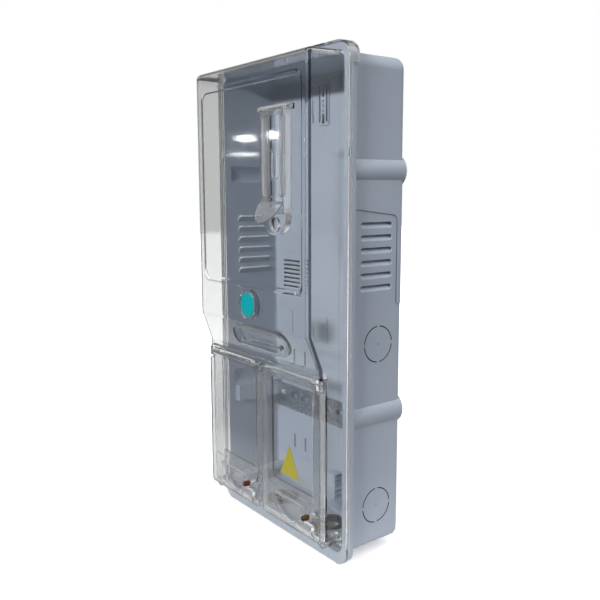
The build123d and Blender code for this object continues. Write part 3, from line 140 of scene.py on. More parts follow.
def spread(tree, source, span, ends=(0, 1)):
    """Maps a value from one span to another, clamped."""
    node = tree.nodes.new("ShaderNodeMapRange")
    for label, value in zip(("From Min", "From Max", "To Min", "To Max"), (*span, *ends)):
        node.inputs[label].default_value = value
    tree.links.new(source, node.inputs["Value"])
    return node.outputs["Result"]


def opposite(tree, value):
    """One less a value that runs from nought to one."""
    return spread(tree, value, (0, 1), (1, 0))


def joined(tree, operation, first, second):
    """Two values put through one operation of the Math node."""
    node = tree.nodes.new("ShaderNodeMath")
    node.operation = operation
    tree.links.new(first, node.inputs[0])
    tree.links.new(second, node.inputs[1])
    return node.outputs[0]


def product(tree, first, second):
    """Two values multiplied."""
    return joined(tree, "MULTIPLY", first, second)


def total(tree, first, second):
    """Two values added."""
    return joined(tree, "ADD", first, second)


def either_of(tree, first, second):
    """The larger of two values."""
    return joined(tree, "MAXIMUM", first, second)


print("arithmetic helpers ready")

# %% [markdown]
# ## Moulded grain
#
# A moulded wall is never one flat colour. The steel mould is spark eroded, which leaves a fine
# grain on the plastic, and the melt flows in with a slow drift of tone. A single noise would give
# only one of these, so three are used at three scales: one for tone, one for flow, one for grain.

# %% Moulded grain group
DRIFT_SCALE = 9
FLOW_SCALE = 70
GRAIN_SCALE = 2600
GRAIN_SPAN = (0.3, 0.7)          # the middle stretch of a noise, where most of it lies
SATIN = (0.40, 0.52)             # roughness of the smoothest and of the dullest spots
FLOW_STRENGTH, FLOW_HEIGHT = 0.12, 1.5 * MM
GRAIN_STRENGTH, GRAIN_HEIGHT = 0.16, 0.25 * MM


def mould_grain_group():
    """Two tones mixed by the drift, with the flow as roughness and the grain as bump on the flow."""
    inputs = [("Light", "NodeSocketColor", (0.5, 0.5, 0.5, 1)),
              ("Dark", "NodeSocketColor", (0.4, 0.4, 0.4, 1))]
    outputs = [("Color", "NodeSocketColor"), ("Roughness", "NodeSocketFloat"), ("Normal", "NodeSocketVector")]
    tree, start, end = new_group("mould_grain", inputs, outputs)
    drift = noise(tree, DRIFT_SCALE, detail=3).outputs["Fac"]
    grain = noise(tree, GRAIN_SCALE, detail=2).outputs["Fac"]
    flow = noise(tree, FLOW_SCALE, detail=4, roughness=0.6).outputs["Fac"]
    colour = mixed(tree, spread(tree, drift, GRAIN_SPAN), start.outputs["Light"], start.outputs["Dark"])
    tree.links.new(colour, end.inputs["Color"])
    tree.links.new(spread(tree, flow, GRAIN_SPAN, SATIN), end.inputs["Roughness"])
    slow = bump(tree, flow, FLOW_STRENGTH, FLOW_HEIGHT)
    tree.links.new(bump(tree, grain, GRAIN_STRENGTH, GRAIN_HEIGHT, slow), end.inputs["Normal"])
    return tree


MOULD_GRAIN = mould_grain_group()
print("group", MOULD_GRAIN.name)

# %% [markdown]
# ## Handling marks
#
# Clear moulded plastic is not optical glass. Its faces sink and swell by a few hundredths of a
# millimetre as they cool, which bends reflections, and fingers leave faint dull patches. The
# swell is a slow bump and the patches are a little roughness, both from noise.

# %% Handling marks group
PATCH_SCALE = 26
PATCH_SPAN = (0.35, 0.75)
POLISH = (0.02, 0.07)            # roughness between and inside the dull patches
SWELL_SCALE = 16
SWELL_HEIGHT = 4 * MM


def handling_marks_group():
    """Dull patches as roughness, and a slow swell as bump whose strength is the input."""
    outputs = [("Roughness", "NodeSocketFloat"), ("Normal", "NodeSocketVector")]
    tree, start, end = new_group("handling_marks", [("Wave", "NodeSocketFloat", 0.1)], outputs)
    patches = noise(tree, PATCH_SCALE, detail=4, roughness=0.6).outputs["Fac"]
    swell = noise(tree, SWELL_SCALE, detail=1).outputs["Fac"]
    tree.links.new(spread(tree, patches, PATCH_SPAN, POLISH), end.inputs["Roughness"])
    tree.links.new(bump(tree, swell, start.outputs["Wave"], SWELL_HEIGHT), end.inputs["Normal"])
    return tree


HANDLING_MARKS = handling_marks_group()
print("group", HANDLING_MARKS.name)

# %% [markdown]
# ## Metal bloom
#
# Zinc plate clouds as it ages and turned brass tarnishes in patches. Both are the same effect at
# different scales: two tones and two degrees of gloss, mixed by one cloudy noise.

# %% Metal bloom group
CLOUD_SCALE = 90.0
CLOUD_SPAN = (0.35, 0.65)
METAL_GLOSS = (0.28, 0.5)        # roughness of the bright and of the dull patches
SCRATCH_SCALE = 1400
SCRATCH_STRENGTH, SCRATCH_HEIGHT = 0.15, 0.3 * MM


def metal_bloom_group():
    """Two tones and two degrees of gloss mixed by one cloud, with a fine bump over them."""
    inputs = [("Bright", "NodeSocketColor", (0.6, 0.6, 0.6, 1)),
              ("Dull", "NodeSocketColor", (0.4, 0.4, 0.4, 1)),
              ("Scale", "NodeSocketFloat", CLOUD_SCALE), ("Dullness", "NodeSocketFloat", 1.0)]
    outputs = [("Color", "NodeSocketColor"), ("Roughness", "NodeSocketFloat"), ("Normal", "NodeSocketVector")]
    tree, start, end = new_group("metal_bloom", inputs, outputs)
    cloud = noise(tree, CLOUD_SCALE, detail=5, roughness=0.65)
    tree.links.new(start.outputs["Scale"], cloud.inputs["Scale"])
    bloom = spread(tree, cloud.outputs["Fac"], CLOUD_SPAN)
    tree.links.new(mixed(tree, bloom, start.outputs["Bright"], start.outputs["Dull"]), end.inputs["Color"])
    gloss = spread(tree, cloud.outputs["Fac"], CLOUD_SPAN, METAL_GLOSS)
    tree.links.new(product(tree, gloss, start.outputs["Dullness"]), end.inputs["Roughness"])
    scratches = noise(tree, SCRATCH_SCALE, detail=3).outputs["Fac"]
    tree.links.new(bump(tree, scratches, SCRATCH_STRENGTH, SCRATCH_HEIGHT), end.inputs["Normal"])
    return tree


METAL_BLOOM = metal_bloom_group()
print("group", METAL_BLOOM.name)

# %% [markdown]
# ## Helpers for materials
#
# Each material is one Principled shader. Values that are the same all over a piece go on the
# shader's own sockets, and what changes over the surface comes from a group. Moulded and rolled
# pieces differ only in their tones and gloss, so one function makes all their finishes.

# %% Material helpers
ALL_THREE = (("Color", "Base Color"), ("Roughness", "Roughness"), ("Normal", "Normal"))
MARKS = (("Roughness", "Roughness"), ("Normal", "Normal"))
COLOUR_AND_BUMP = (("Color", "Base Color"), ("Normal", "Normal"))
COLOUR_ONLY = (("Color", "Base Color"),)


def linear(red, green, blue):
    """An sRGB colour, given from 0 to 255, as linear light with full alpha."""
    srgb = np.array([red, green, blue]) / 255
    low = srgb / 12.92
    high = ((srgb + 0.055) / 1.055) ** 2.4
    return (*np.where(srgb <= 0.04045, low, high).tolist(), 1.0)


def new_material(name, **sockets):
    """A material with one Principled shader, with some of its sockets set."""
    material = bpy.data.materials.new(name)
    material.use_nodes = True
    shader = material.node_tree.nodes["Principled BSDF"]
    for label, value in sockets.items():
        shader.inputs[label.replace("_", " ")].default_value = value
    return material, material.node_tree, shader


def add_group(tree, group, shader, links, **values):
    """Puts a group in a material and joins its outputs to the shader."""
    node = tree.nodes.new("ShaderNodeGroup")
    node.node_tree = group
    for label, value in values.items():
        node.inputs[label].default_value = value
    for out_label, in_label in links:
        tree.links.new(node.outputs[out_label], shader.inputs[in_label])


def moulded_material(name, light, dark, links=ALL_THREE, **sockets):
    """A moulded or rolled finish: the shared grain between two tones."""
    material, tree, shader = new_material(name, **sockets)
    add_group(tree, MOULD_GRAIN, shader, links, Light=linear(*light), Dark=linear(*dark))
    return material


print("material helpers ready")

# %% [markdown]
# ## Grey tray
#
# The tray is satin, slightly blue grey plastic. Light bounces several times inside it and each
# bounce deepens the blue, so one colour will do for the inside and the outside. Two more finishes
# of the same plastic are for single faces: a dark one, which is painted shade for cuts and grooves,
# and a near white one for thin lips that catch the light.

# %% Grey mouldings
GREY = moulded_material("grey_moulding", (167, 176, 189), (159, 168, 182), Specular_IOR_Level=0.4)
# The dark finish is painted shade, laid on cuts and grooves where shade falls.
PAINTED_SHADE = moulded_material("painted_shade_cuts", (74, 80, 90), (58, 64, 73), Specular_IOR_Level=0.2)
PALE = moulded_material("pale_lips", (250, 250, 250), (240, 241, 242), Specular_IOR_Level=0.6)
print("materials", GREY.name, PAINTED_SHADE.name, PALE.name)

# %% [markdown]
# ## Clear plastic
#
# The cover, the doors and the flap are clear plastic. A glass shader alone would leave the inside
# of the box dark, because lamps cannot be found through a bending surface. So a ray that only
# carries light, a shadow ray or a diffuse ray, passes straight through and is dimmed. What the
# camera sees still bends. The doors are hazier than the cover. Moulded edges scatter light and
# look pale, and the tight bends of the hood look dark, so each of these has its own clear finish.

# %% Clear plastic
PLASTIC_IOR = 1.46
COVER_TINT = (0.77, 0.775, 0.77)
DOOR_TINT = (0.84, 0.845, 0.845)
DOOR_SHADE = (0.70, 0.71, 0.72)
EDGE_TINT = (0.93, 0.935, 0.94)
EDGE_SHADE = (0.3, 0.3, 0.3)
BEND_TINT = (0.18, 0.19, 0.22)


def clear_material(name, tint, shade, wave, haze):
    """Plastic that dims what is behind it, and that lets light into the box.

    Each pass through a wall takes the tint once. A shadow ray or a diffuse ray crosses two faces
    without bending, so each face there takes the square root of the shade that the wall throws.
    The wave is how strongly the faces swell, and the haze is the share of light that they scatter.
    """
    material, tree, shader = new_material(name, Transmission_Weight=1.0 - haze, IOR=PLASTIC_IOR)
    shader.inputs["Base Color"].default_value = (*tint, 1)
    add_group(tree, HANDLING_MARKS, shader, MARKS, Wave=wave)
    path = tree.nodes.new("ShaderNodeLightPath")
    carries_light = either_of(tree, path.outputs["Is Shadow Ray"], path.outputs["Is Diffuse Ray"])
    through = tree.nodes.new("ShaderNodeBsdfTransparent")
    through.inputs["Color"].default_value = (*np.sqrt(shade).tolist(), 1)
    mix = tree.nodes.new("ShaderNodeMixShader")
    tree.links.new(carries_light, mix.inputs["Fac"])
    tree.links.new(shader.outputs["BSDF"], mix.inputs[1])
    tree.links.new(through.outputs["BSDF"], mix.inputs[2])
    tree.links.new(mix.outputs["Shader"], tree.nodes["Material Output"].inputs["Surface"])
    return material


CLEAR_COVER = clear_material("clear_cover", COVER_TINT, COVER_TINT, wave=0.03, haze=0.003)
CLEAR_DOOR = clear_material("clear_door", DOOR_TINT, DOOR_SHADE, wave=0.003, haze=0.018)
CLEAR_EDGE = clear_material("clear_edge", EDGE_TINT, EDGE_SHADE, wave=0.002, haze=0.2)
CLEAR_BEND = clear_material("clear_bend", BEND_TINT, COVER_TINT, wave=0.002, haze=0.0)
print("materials", CLEAR_COVER.name, CLEAR_DOOR.name, CLEAR_EDGE.name, CLEAR_BEND.name)

# %% [markdown]
# ## Metals
#
# The rail is zinc plated, the pins and the screw shanks are bright steel, and the sealing screws
# have brass heads, one coppery and one dull brown. All four are the same shader with other tones.

# %% Metals


def metal_material(name, bright, dull, scale, dullness=1.0):
    """Bare or plated metal, clouded between two tones."""
    material, tree, shader = new_material(name, Metallic=1.0)
    add_group(tree, METAL_BLOOM, shader, ALL_THREE, Bright=linear(*bright), Dull=linear(*dull),
              Scale=scale, Dullness=dullness)
    return material


ZINC = metal_material("zinc_plate", (214, 220, 226), (174, 181, 189), scale=120.0, dullness=0.6)
STEEL = metal_material("bright_steel", (205, 207, 210), (176, 178, 182), scale=300.0)
RED_BRASS = metal_material("coppery_brass", (146, 76, 54), (100, 52, 40), scale=900.0)
DARK_BRASS = metal_material("dull_brass", (108, 88, 46), (68, 52, 24), scale=900.0)
print("metals", ZINC.name, STEEL.name, RED_BRASS.name, DARK_BRASS.name)

# %% [markdown]
# ## Button, sleeves and sticker
#
# The button is opaque teal plastic, the cable sleeves are matt black rubber, and the sticker is a
# plain yellow film under a thin gloss. The three take the same grain as the tray, with their own
# colours, because they are moulded or rolled too.

# %% Button, rubber and film
TEAL = moulded_material("teal_button", (0, 136, 141), (0, 128, 133), Specular_IOR_Level=0.15)
RUBBER = moulded_material("sleeve_rubber", (34, 34, 36), (22, 22, 24), COLOUR_AND_BUMP,
                          Specular_IOR_Level=0.25, Roughness=0.75)
FILM = moulded_material("yellow_film", (140, 133, 10), (130, 122, 8), COLOUR_ONLY,
                        Coat_Weight=0.3, Roughness=0.4)
print("materials", TEAL.name, RUBBER.name, FILM.name)

# %% [markdown]
# ## Finishes on the solids
#
# The solids keep their shape and carry their own smooth normals, so a finish is all that they
# need. Most nodes take one material.

# %% Dress the solids
DRESS = {
    "base_box": GREY, "left_cable_sleeve": RUBBER, "right_cable_sleeve": RUBBER, "din_rail": ZINC,
    "rail_screws": STEEL, "cover_hinge_pins": STEEL, "front_cover": CLEAR_COVER, "left_door_pins": STEEL,
    "right_door_pins": STEEL, "flap_pin": STEEL, "button_spring": STEEL, "push_button": TEAL,
    "button_clip": STEEL, "access_flap": CLEAR_DOOR, "left_door": CLEAR_DOOR, "right_door": CLEAR_DOOR,
    "blank_sticker": FILM, "left_sealing_screw": RED_BRASS, "left_screw_ring": STEEL,
    "right_sealing_screw": DARK_BRASS, "right_screw_ring": STEEL,
}
for name, material in DRESS.items():
    mesh = NODES[name].data
    mesh.materials.clear()
    mesh.materials.append(material)
print("dressed", len(DRESS))

# %% [markdown]
# ## Picking out faces
#
# Some faces of a solid have another finish than the rest. They could be cut off as pieces of
# their own, but a cut would show as a seam in clear plastic. One more material slot on the same
# mesh keeps it whole. The faces are picked out as whole arrays, by their middles and normals.

# %% Face picking


def face_arrays(node):
    """The middles and the normals of a node's faces, as two arrays of rows of three."""
    polygons = NODES[node].data.polygons
    middles = np.empty(3 * len(polygons))
    normals = np.empty(3 * len(polygons))
    polygons.foreach_get("center", middles)
    polygons.foreach_get("normal", normals)
    return middles.reshape(-1, 3), normals.reshape(-1, 3)


def within(middles, low, high):
    """Which middles lie in a box, given in millimetres."""
    return np.all((middles > np.array(low) * MM) & (middles < np.array(high) * MM), axis=1)


def between(values, span):
    """Which values lie inside a span."""
    return (values > span[0]) & (values < span[1])


def extra_finish(node, material, picked):
    """Gives the picked faces of a node one more material."""
    mesh = NODES[node].data
    mesh.materials.append(material)
    slots = np.zeros(len(picked), dtype=np.int32)
    mesh.polygons.foreach_get("material_index", slots)
    slots[picked] = len(mesh.materials) - 1
    mesh.polygons.foreach_set("material_index", slots)
    mesh.update()
    print(node, "takes", material.name, "on", int(picked.sum()), "of", len(picked), "faces")


cover_middles, cover_normals = face_arrays("front_cover")
tray_middles, tray_normals = face_arrays("base_box")
print("faces of the cover", len(cover_middles), "and of the tray", len(tray_middles))

# %% [markdown]
# ## Pale edges
#
# The edges of the doors and of the flap are moulded thin, and scatter light, so they look pale
# where a clean clear edge would look black. A face counts as an edge when it turns far enough
# from the front. On the cover only the hinge posts, the boss under the flap and the rim are taken,
# because its tall side walls are as clear as its front.

# %% Pale edges
EDGE_FACING = 0.7                # an edge faces the front by less than this
RIM_HALF_WIDTH = 132.5 * MM
HINGE_POSTS = ((-130, -126, -95), (130, -112, -66))
FLAP_BOSS = ((42, -150, 88), (92, -135, 115))

for node in ("left_door", "right_door", "access_flap"):
    _, normals = face_arrays(node)
    extra_finish(node, CLEAR_EDGE, np.abs(normals[:, 1]) < EDGE_FACING)

rim = np.abs(cover_middles[:, 0]) > RIM_HALF_WIDTH
pale = rim | within(cover_middles, *HINGE_POSTS) | within(cover_middles, *FLAP_BOSS)
extra_finish("front_cover", CLEAR_EDGE, pale & (np.abs(cover_normals[:, 1]) < EDGE_FACING))

# %% [markdown]
# ## Dark bends
#
# The rounded corners between the front of the cover and its sides bend the view so far that they
# show the dark of a room as a thin line. Through clear plastic the studio here is nearly all
# white, so the faces in the middle of each bend take a deep tint instead.

# %% Dark bends
BEND_TURN = (0.5, 0.86)          # how far a face in the middle of a bend turns to the side
BEND_FACING = 0.3                # and it still faces the front by more than this

turned = between(np.abs(cover_normals[:, 0]), BEND_TURN)
extra_finish("front_cover", CLEAR_BEND, turned & (np.abs(cover_normals[:, 1]) > BEND_FACING) & ~rim)

# %% [markdown]
# ## Painted shade in cuts
#
# The cuts through the back wall, the grooves round the knock-outs and the step of the raised pads
# lie in shade, and look like dark drawn lines from where the camera stands. The cuts are real ones
# in the solids. A darker finish on their faces is painted shade, which keeps the lines crisp.

# %% Painted shade in cuts
BACK_CUTS = ((-112, -2.75, -275), (112, -0.3, 275))      # between the two faces of the back wall
GROOVE_X = (125.7 * MM, 127.3 * MM)  # from the floor of a knock-out groove to the wall's face
KNOCKOUT_Y = -38.2 * MM
KNOCKOUT_Z = (-38 * MM, -237 * MM)
KNOCKOUT_R = (20.4 * MM, 22.2 * MM)
PADS = ((-140, -80, 0), (140, -1, 160))
PAD_X = 127.6 * MM                   # faces further out than this stand on a raised pad
STEP_FACING = 0.5                    # a step faces the side by less than this

across = np.abs(tray_middles[:, 0])
rings = np.zeros(len(tray_middles), dtype=bool)
for height in KNOCKOUT_Z:
    reach = np.hypot(tray_middles[:, 1] - KNOCKOUT_Y, tray_middles[:, 2] - height)
    rings |= between(reach, KNOCKOUT_R)
grooves = rings & between(across, GROOVE_X)
pad_steps = within(tray_middles, *PADS) & (across > PAD_X) & (np.abs(tray_normals[:, 0]) < STEP_FACING)
# Painted shade on the faces of the back-wall cuts, the knock-out grooves and the pad steps.
extra_finish("base_box", PAINTED_SHADE, within(tray_middles, *BACK_CUTS) | grooves | pad_steps)

# %% [markdown]
# ## Pale louvre lips
#
# Each louvre is a scoop pushed in through the side wall. From inside the box its thin edge and
# its upper face catch the light and show as bright lines. A lamp for each would be fussy, so the
# lips take a near white finish of the same plastic.

# %% Pale louvre lips
LOUVRES = ((-140, -70, 30), (140, -16, 108))
SCOOP_X = 119 * MM                   # a scoop reaches no further in than this
LIP_X = 120.9 * MM                   # its thin edge lies further in than this
HOOD_X = 124.6 * MM                  # its upper face is pale as far out as this
LIP_FACING = 0.95                    # the thin edge faces the side by more than this
HOOD_RISE = 0.7                      # the upper face turns up by more than this

thin_edge = (across < LIP_X) & (np.abs(tray_normals[:, 0]) > LIP_FACING)
upper_face = (across < HOOD_X) & (tray_normals[:, 2] > HOOD_RISE)
scoops = within(tray_middles, *LOUVRES) & (across > SCOOP_X)
extra_finish("base_box", PALE, scoops & (thin_edge | upper_face))

# %% [markdown]
# ## Steel shanks
#
# A sealing screw has a brass head on a plain steel shank. The solid is one turned piece, so the
# faces behind the head take the steel, and the head keeps its brass.

# %% Steel shanks
HEAD_LENGTH = 8.0 * MM
HEAD_MARGIN = 0.1 * MM               # takes in the faces that lie right behind the head

for node in ("left_sealing_screw", "right_sealing_screw"):
    middles, _ = face_arrays(node)
    extra_finish(node, STEEL, middles[:, 1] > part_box(node)[0][1] + HEAD_LENGTH - HEAD_MARGIN)

# %% [markdown]
# ## Screw threads
#
# The bare shank between each brass head and its door carries a cut thread, which is too fine for
# the solids. It could be a bump, but a bump has no outline and would be lost if the mesh were
# exported. So it is a thin closed sheath round the shank, whose radius rises and falls along a helix.

# %% Thread sheath
SHANK_SHOWN = 5.0 * MM
SHANK_R = 2.0 * MM
THREAD_PITCH = 0.8 * MM
THREAD_DEPTH = 0.35 * MM
THREAD_SINK = 0.08 * MM
INNER_SINK = 3 * THREAD_SINK
THREAD_END_GAP = 0.35 * MM
THREAD_FADE = 8                      # the ridge fades over one part in eight of the length
THREAD_COLUMNS = 48
THREAD_ROWS = 64


def closed_sheath(name, points):
    """A mesh from a grid of points that closes on itself both ways, like a ring."""
    rows, columns = points.shape[:2]
    index = np.arange(rows * columns).reshape(rows, columns)
    down = np.roll(index, -1, axis=0)
    quads = np.stack([index, down, np.roll(down, -1, axis=1), np.roll(index, -1, axis=1)], axis=-1)
    mesh = bpy.data.meshes.new(name)
    mesh.from_pydata(points.reshape(-1, 3).tolist(), [], quads.reshape(-1, 4).tolist())
    mesh.polygons.foreach_set("use_smooth", np.ones(len(mesh.polygons), dtype=bool))
    mesh.update()
    piece = bpy.data.objects.new(name, mesh)
    bpy.context.scene.collection.objects.link(piece)
    return piece


def screw_thread(name, node):
    """Thread on a bare shank.

    The grid runs round the shank and along it. The radius is the shank's own plus a ridge, which
    is a triangle wave: its crest lies where the place along the shank, counted in pitches, is half
    a pitch ahead of the turn round it, counted in turns. At both ends the ridge fades and the
    sheath sinks just under the shank. Two more rows, inside the shank, close the ring.
    """
    low, high = (np.array(corner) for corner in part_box(node))
    start = low[1] + HEAD_LENGTH + THREAD_END_GAP
    length = SHANK_SHOWN - 2 * THREAD_END_GAP
    turn = np.arange(THREAD_COLUMNS) / THREAD_COLUMNS
    along_shank = np.linspace(0, 1, THREAD_ROWS)
    turns, places = np.meshgrid(turn, along_shank)
    phase = (places * length / THREAD_PITCH - turns) % 1
    ridge = 1 - np.abs(2 * phase - 1)
    fade = np.clip(THREAD_FADE * np.minimum(places, 1 - places), 0, 1)
    radius = SHANK_R - THREAD_SINK + (THREAD_SINK + THREAD_DEPTH * ridge) * fade
    inside = np.full((2, THREAD_COLUMNS), SHANK_R - INNER_SINK)
    radius = np.vstack([radius, inside])
    places = np.vstack([places, np.ones((1, THREAD_COLUMNS)), np.zeros((1, THREAD_COLUMNS))])
    angle = 2 * np.pi * np.vstack([turns, turns[:2]])
    middle = (low + high) / 2
    points = np.stack([middle[0] + radius * np.cos(angle), start + places * length,
                       middle[2] + radius * np.sin(angle)], axis=-1)
    return closed_sheath(name, points)


for side in ("left", "right"):
    thread = screw_thread(f"{side}_screw_thread", f"{side}_sealing_screw")
    thread.data.materials.append(STEEL)
    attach(thread, f"{side}_screw")
    print(thread.name, "faces", len(thread.data.polygons))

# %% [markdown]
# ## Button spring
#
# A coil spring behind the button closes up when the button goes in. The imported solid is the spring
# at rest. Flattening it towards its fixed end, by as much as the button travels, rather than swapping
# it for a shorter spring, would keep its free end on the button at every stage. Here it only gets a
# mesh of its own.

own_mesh(NODES["button_spring"])

# %% [markdown]
# ## Kinds of ray
#
# The floor and the sky below look plain to the camera but shape the light on the box, as cloths
# and screens do in a studio. Real ones have to stand where the camera cannot see them, and there
# is no such place round a box that is looked at from all sides. So the floor and the sky ask what
# kind of ray has met them: one from the camera, one through clear plastic, or one that carries
# light from surface to surface.

# %% Rays


def along(tree, source, direction):
    """How far a place or a direction lies along a given direction."""
    dot = tree.nodes.new("ShaderNodeVectorMath")
    dot.operation = "DOT_PRODUCT"
    dot.inputs[1].default_value = direction
    tree.links.new(source, dot.inputs[0])
    return dot.outputs["Value"]


def bounced(tree):
    """One for a ray that has met a surface, and nought for one straight from the camera."""
    path = tree.nodes.new("ShaderNodeLightPath")
    return opposite(tree, path.outputs["Is Camera Ray"])


def transmitted(tree):
    """One for a ray that has just come through clear plastic."""
    return tree.nodes.new("ShaderNodeLightPath").outputs["Is Transmission Ray"]


def scattered(tree):
    """One for a ray that carries light between surfaces, and nought for what the camera looks at."""
    return product(tree, bounced(tree), opposite(tree, transmitted(tree)))


print("ray helpers ready")

# %% [markdown]
# ## Floor
#
# The box stands on a plain pale sheet. Far off the sheet glows faintly, as a lit backdrop does, so
# that it runs into the white behind it with no line. A photographer lays black cloth where a
# glossy front would mirror the floor, and where light from below would flatten the shapes. Here
# the cloths are two patches of the sheet. Any ray but the camera's own finds the one at the front
# left, and only rays that carry light find the one at the right, so the sheet looks pale.

# %% Floor
FLOOR_Z = CAD_BOX[0][2]
FLOOR_HALF = 6.0
FLOOR_PALE = (0.93, 0.93, 0.93, 1)
FLOOR_DIM = (0.12, 0.12, 0.13, 1)
FLOOR_GLOW = (0.9, 0.9, 0.9, 1)
FLOOR_NEAR_GLOW = (0.35, 0.35, 0.35, 1)
NO_GLOW = (0, 0, 0, 1)
GLOW_REACH = (0.34, 1.3)             # from where the near glow ends to where the far one is full
FRONT = Vector((0.0, -1.0, 0.0))
LEFT = Vector((-1.0, 0.0, 0.0))
FRONT_CLOTH_AHEAD = (0.18, 0.32)     # each span runs over the soft border of a cloth
FRONT_CLOTH_LEFT = (-0.9, -0.5)
RIGHT_CLOTH_LEFT = (-0.32, -0.12)


def floor_material():
    """Pale sheet with two cloths, and a glow that grows with the distance from the middle."""
    material, tree, shader = new_material("pale_floor", Roughness=0.9, Specular_IOR_Level=0.1,
                                          Emission_Strength=1.0)
    place = tree.nodes.new("ShaderNodeTexCoord").outputs["Object"]
    ahead = spread(tree, along(tree, place, FRONT), FRONT_CLOTH_AHEAD)
    leftward = along(tree, place, LEFT)
    front_cloth = product(tree, product(tree, ahead, spread(tree, leftward, FRONT_CLOTH_LEFT)), bounced(tree))
    right_cloth = product(tree, spread(tree, leftward, RIGHT_CLOTH_LEFT, (1, 0)), scattered(tree))
    cloth = either_of(tree, front_cloth, right_cloth)
    tree.links.new(mixed(tree, cloth, FLOOR_PALE, FLOOR_DIM), shader.inputs["Base Color"])
    reach = tree.nodes.new("ShaderNodeVectorMath")
    reach.operation = "LENGTH"
    tree.links.new(place, reach.inputs[0])
    near_glow = mixed(tree, bounced(tree), FLOOR_NEAR_GLOW, NO_GLOW)
    glow = mixed(tree, spread(tree, reach.outputs["Value"], GLOW_REACH), near_glow, FLOOR_GLOW)
    tree.links.new(mixed(tree, cloth, glow, NO_GLOW), shader.inputs["Emission Color"])
    return material


def floor_sheet():
    """A flat square, level with the foot of the box."""
    square = np.array([(-1, -1, 0), (1, -1, 0), (1, 1, 0), (-1, 1, 0)])
    corners = square * FLOOR_HALF + np.array((0, 0, FLOOR_Z))
    mesh = bpy.data.meshes.new("floor")
    mesh.from_pydata(corners.tolist(), [], [(0, 1, 2, 3)])
    mesh.materials.append(floor_material())
    floor = bpy.data.objects.new("floor", mesh)
    bpy.context.scene.collection.objects.link(floor)
    return floor


print(floor_sheet().name, "at", round(FLOOR_Z, 4))

# %% [markdown]
# ## Sky
#
# Soft light comes from all round, and the camera itself sees plain white on every side. For the
# rays that carry light, the sky falls off at the front left, which the cover would mirror, at the
# right and overhead, so that the lamp in front shapes the inside of the box. A window of brighter
# sky at the upper right lights the tops of the bands and louvres. Through clear plastic the sky
# stays white, but for two places: the patch at the front left, and what lies over a white backdrop
# of limited height at the rear left, whose top draws the dark upper edge of the hood.

# %% Sky directions
FRONT_LEFT = Vector((-0.8, -0.6, 0.0))
FRONT_RIGHT = Vector((0.64, -0.77, 0.0))
REAR_RIGHT = Vector((0.9, 0.44, 0.0))
REAR_LEFT = Vector((-0.8, 0.6, 0.0))
UP_RIGHT = Vector((0.62, 0.25, 0.74))
UP = Vector((0.0, 0.0, 1.0))
# Each span is the soft border of a patch of sky, in cosines of the angle from its direction
FRONT_LEFT_SPAN, FRONT_LEFT_LEVEL = (0.55, 0.85), 0.10
FRONT_LEFT_TOP = (0.30, 0.55)
FRONT_RIGHT_SPAN, FRONT_RIGHT_LEVEL = (0.0, 0.7), 0.12
REAR_RIGHT_SPAN, REAR_RIGHT_LEVEL = (0.0, 0.8), 0.10
OVERHEAD_SPAN, OVERHEAD_LEVEL = (0.25, 0.8), 0.35
MIRRORED_SPAN = (0.88, 0.96)
BACKDROP_TOP = (0.137, 0.150)
BACKDROP_SPAN, BACKDROP_DIM = (0.5, 0.7), 0.9
WINDOW_SPAN, WINDOW_LIGHT = (0.80, 0.97), 3.1
print("window of sky adds", WINDOW_LIGHT)

# %% Sky


def patch(tree, direction, span, ends=(0, 1)):
    """A soft round patch of sky about a direction."""
    heading = tree.nodes.new("ShaderNodeTexCoord").outputs["Generated"]
    return spread(tree, along(tree, heading, direction), span, ends)


def lit_level(tree):
    """How bright the sky is for rays that carry light: its dim patches multiplied."""
    below_top = patch(tree, UP, FRONT_LEFT_TOP, (1, 0))
    front_left = product(tree, below_top, patch(tree, FRONT_LEFT, FRONT_LEFT_SPAN))
    left = spread(tree, front_left, (0, 1), (1, FRONT_LEFT_LEVEL))
    right = patch(tree, FRONT_RIGHT, FRONT_RIGHT_SPAN, (1, FRONT_RIGHT_LEVEL))
    behind = patch(tree, REAR_RIGHT, REAR_RIGHT_SPAN, (1, REAR_RIGHT_LEVEL))
    overhead = patch(tree, UP, OVERHEAD_SPAN, (1, OVERHEAD_LEVEL))
    return product(tree, overhead, product(tree, product(tree, left, right), behind))


def hidden(tree, kept):
    """One for a ray that finds the dim sky.

    A ray from the camera never does, and one that has come through the clear plastic does only
    where the sky is kept dim for it too.
    """
    through = product(tree, transmitted(tree), opposite(tree, kept))
    return product(tree, bounced(tree), opposite(tree, through))


def sky():
    """White, less the dimness where a ray finds it, plus the window."""
    world = bpy.data.worlds.new("studio")
    bpy.context.scene.world = world
    world.use_nodes = True
    tree = world.node_tree
    over_backdrop = product(tree, patch(tree, UP, BACKDROP_TOP), patch(tree, REAR_LEFT, BACKDROP_SPAN))
    seen_over = product(tree, over_backdrop, transmitted(tree))
    dim = either_of(tree, opposite(tree, lit_level(tree)), spread(tree, seen_over, (0, 1), (0, BACKDROP_DIM)))
    kept = either_of(tree, patch(tree, FRONT_LEFT, MIRRORED_SPAN), over_backdrop)
    level = opposite(tree, product(tree, dim, hidden(tree, kept)))
    window = product(tree, patch(tree, UP_RIGHT, WINDOW_SPAN, (0, WINDOW_LIGHT)), scattered(tree))
    background = tree.nodes["Background"]
    background.inputs["Color"].default_value = (1, 1, 1, 1)
    tree.links.new(total(tree, level, window), background.inputs["Strength"])
    return world


print("sky", sky().name)

# %% [markdown]
# ## Lamps
#
# One lamp stands in front, a little to the right and raised, and throws the shade of the tray's
# top wall on to its back. It is wide and low, which blurs the shade of the button and keeps that
# of the wall. Three small ones at the front left light almost nothing: they are there to be
# mirrored, and make the glints that show how smooth the cover and the flap are.

# %% Lamps
INSIDE = (0, -0.05, 0.05)            # what the key lamp faces
COVER_FRONT = (0, -0.13, 0.2)        # what the glint lamps face


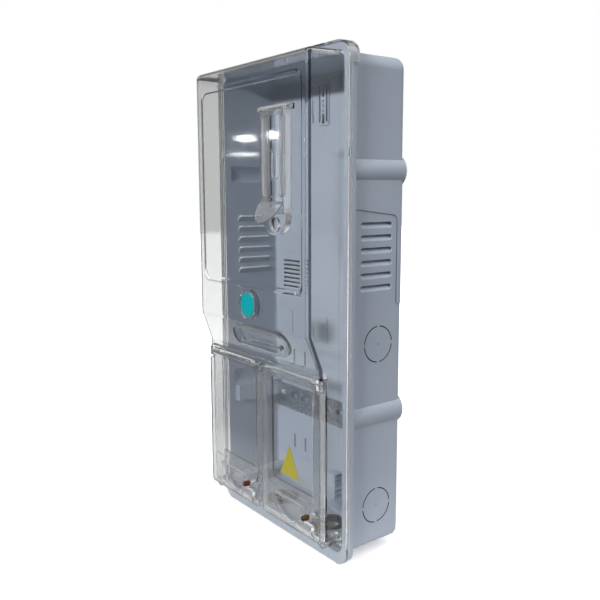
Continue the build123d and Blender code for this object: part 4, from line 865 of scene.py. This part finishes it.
def area_lamp(name, place, target, size, power):
    """A soft oval lamp that faces a target."""
    lamp = bpy.data.lights.new(name, "AREA")
    lamp.shape = "ELLIPSE"
    lamp.size, lamp.size_y = size
    lamp.energy = power
    obj = bpy.data.objects.new(name, lamp)
    bpy.context.scene.collection.objects.link(obj)
    obj.location = place
    obj.rotation_euler = (Vector(target) - Vector(place)).to_track_quat("-Z", "Y").to_euler()


area_lamp("key", place=(0.52, -2.96, 1.12), target=INSIDE, size=(0.9, 0.22), power=134)
area_lamp("upper_glint", place=(-2.521, -1.753, 0.412), target=COVER_FRONT, size=(0.12, 0.036), power=0.14)
area_lamp("flap_glint", place=(-2.395, -1.85, 0.428), target=COVER_FRONT, size=(0.07, 0.04), power=0.1)
area_lamp("lower_glint", place=(-2.534, -1.748, 0.33), target=COVER_FRONT, size=(0.17, 0.014), power=0.07)
bpy.context.scene.view_settings.view_transform = "Standard"
print("lamps", [light.name for light in bpy.data.lights])

# %% [markdown]
# ## Camera
#
# The camera stands where the photograph was taken from: about 53 degrees round to the right of
# the front, a little above the middle of the box, and close to it, so the box narrows with
# distance. Its place and lens were found from the corners of the box.

# %% Camera
CAMERA_PLACE = Vector((0.7305, -0.6067, 0.1393))
AZIMUTH = math.radians(53.01)
LOOK_DOWN = math.radians(8.62)
ROLL = math.radians(-0.18)
LENS = 43.1                          # in millimetres, as is the sensor
SENSOR_WIDTH = 36
NEAREST = 0.01


def photo_camera():
    """A camera turned by its azimuth, then tipped down, then rolled about its own line of sight."""
    back = Vector((math.sin(AZIMUTH) * math.cos(LOOK_DOWN), -math.cos(AZIMUTH) * math.cos(LOOK_DOWN),
                   math.sin(LOOK_DOWN)))
    right = Vector((math.cos(AZIMUTH), math.sin(AZIMUTH), 0))
    up = back.cross(right)
    rolled_right = math.cos(ROLL) * right + math.sin(ROLL) * up
    rolled_up = -math.sin(ROLL) * right + math.cos(ROLL) * up
    data = bpy.data.cameras.new("photo_camera")
    data.lens = LENS
    data.sensor_width = SENSOR_WIDTH
    data.clip_start = NEAREST
    camera = bpy.data.objects.new("photo_camera", data)
    bpy.context.scene.collection.objects.link(camera)
    turn = Matrix((rolled_right, rolled_up, back)).transposed().to_4x4()
    camera.matrix_world = Matrix.Translation(CAMERA_PLACE) @ turn
    bpy.context.scene.camera = camera
    return camera


print("camera", [round(v, 3) for v in photo_camera().location])
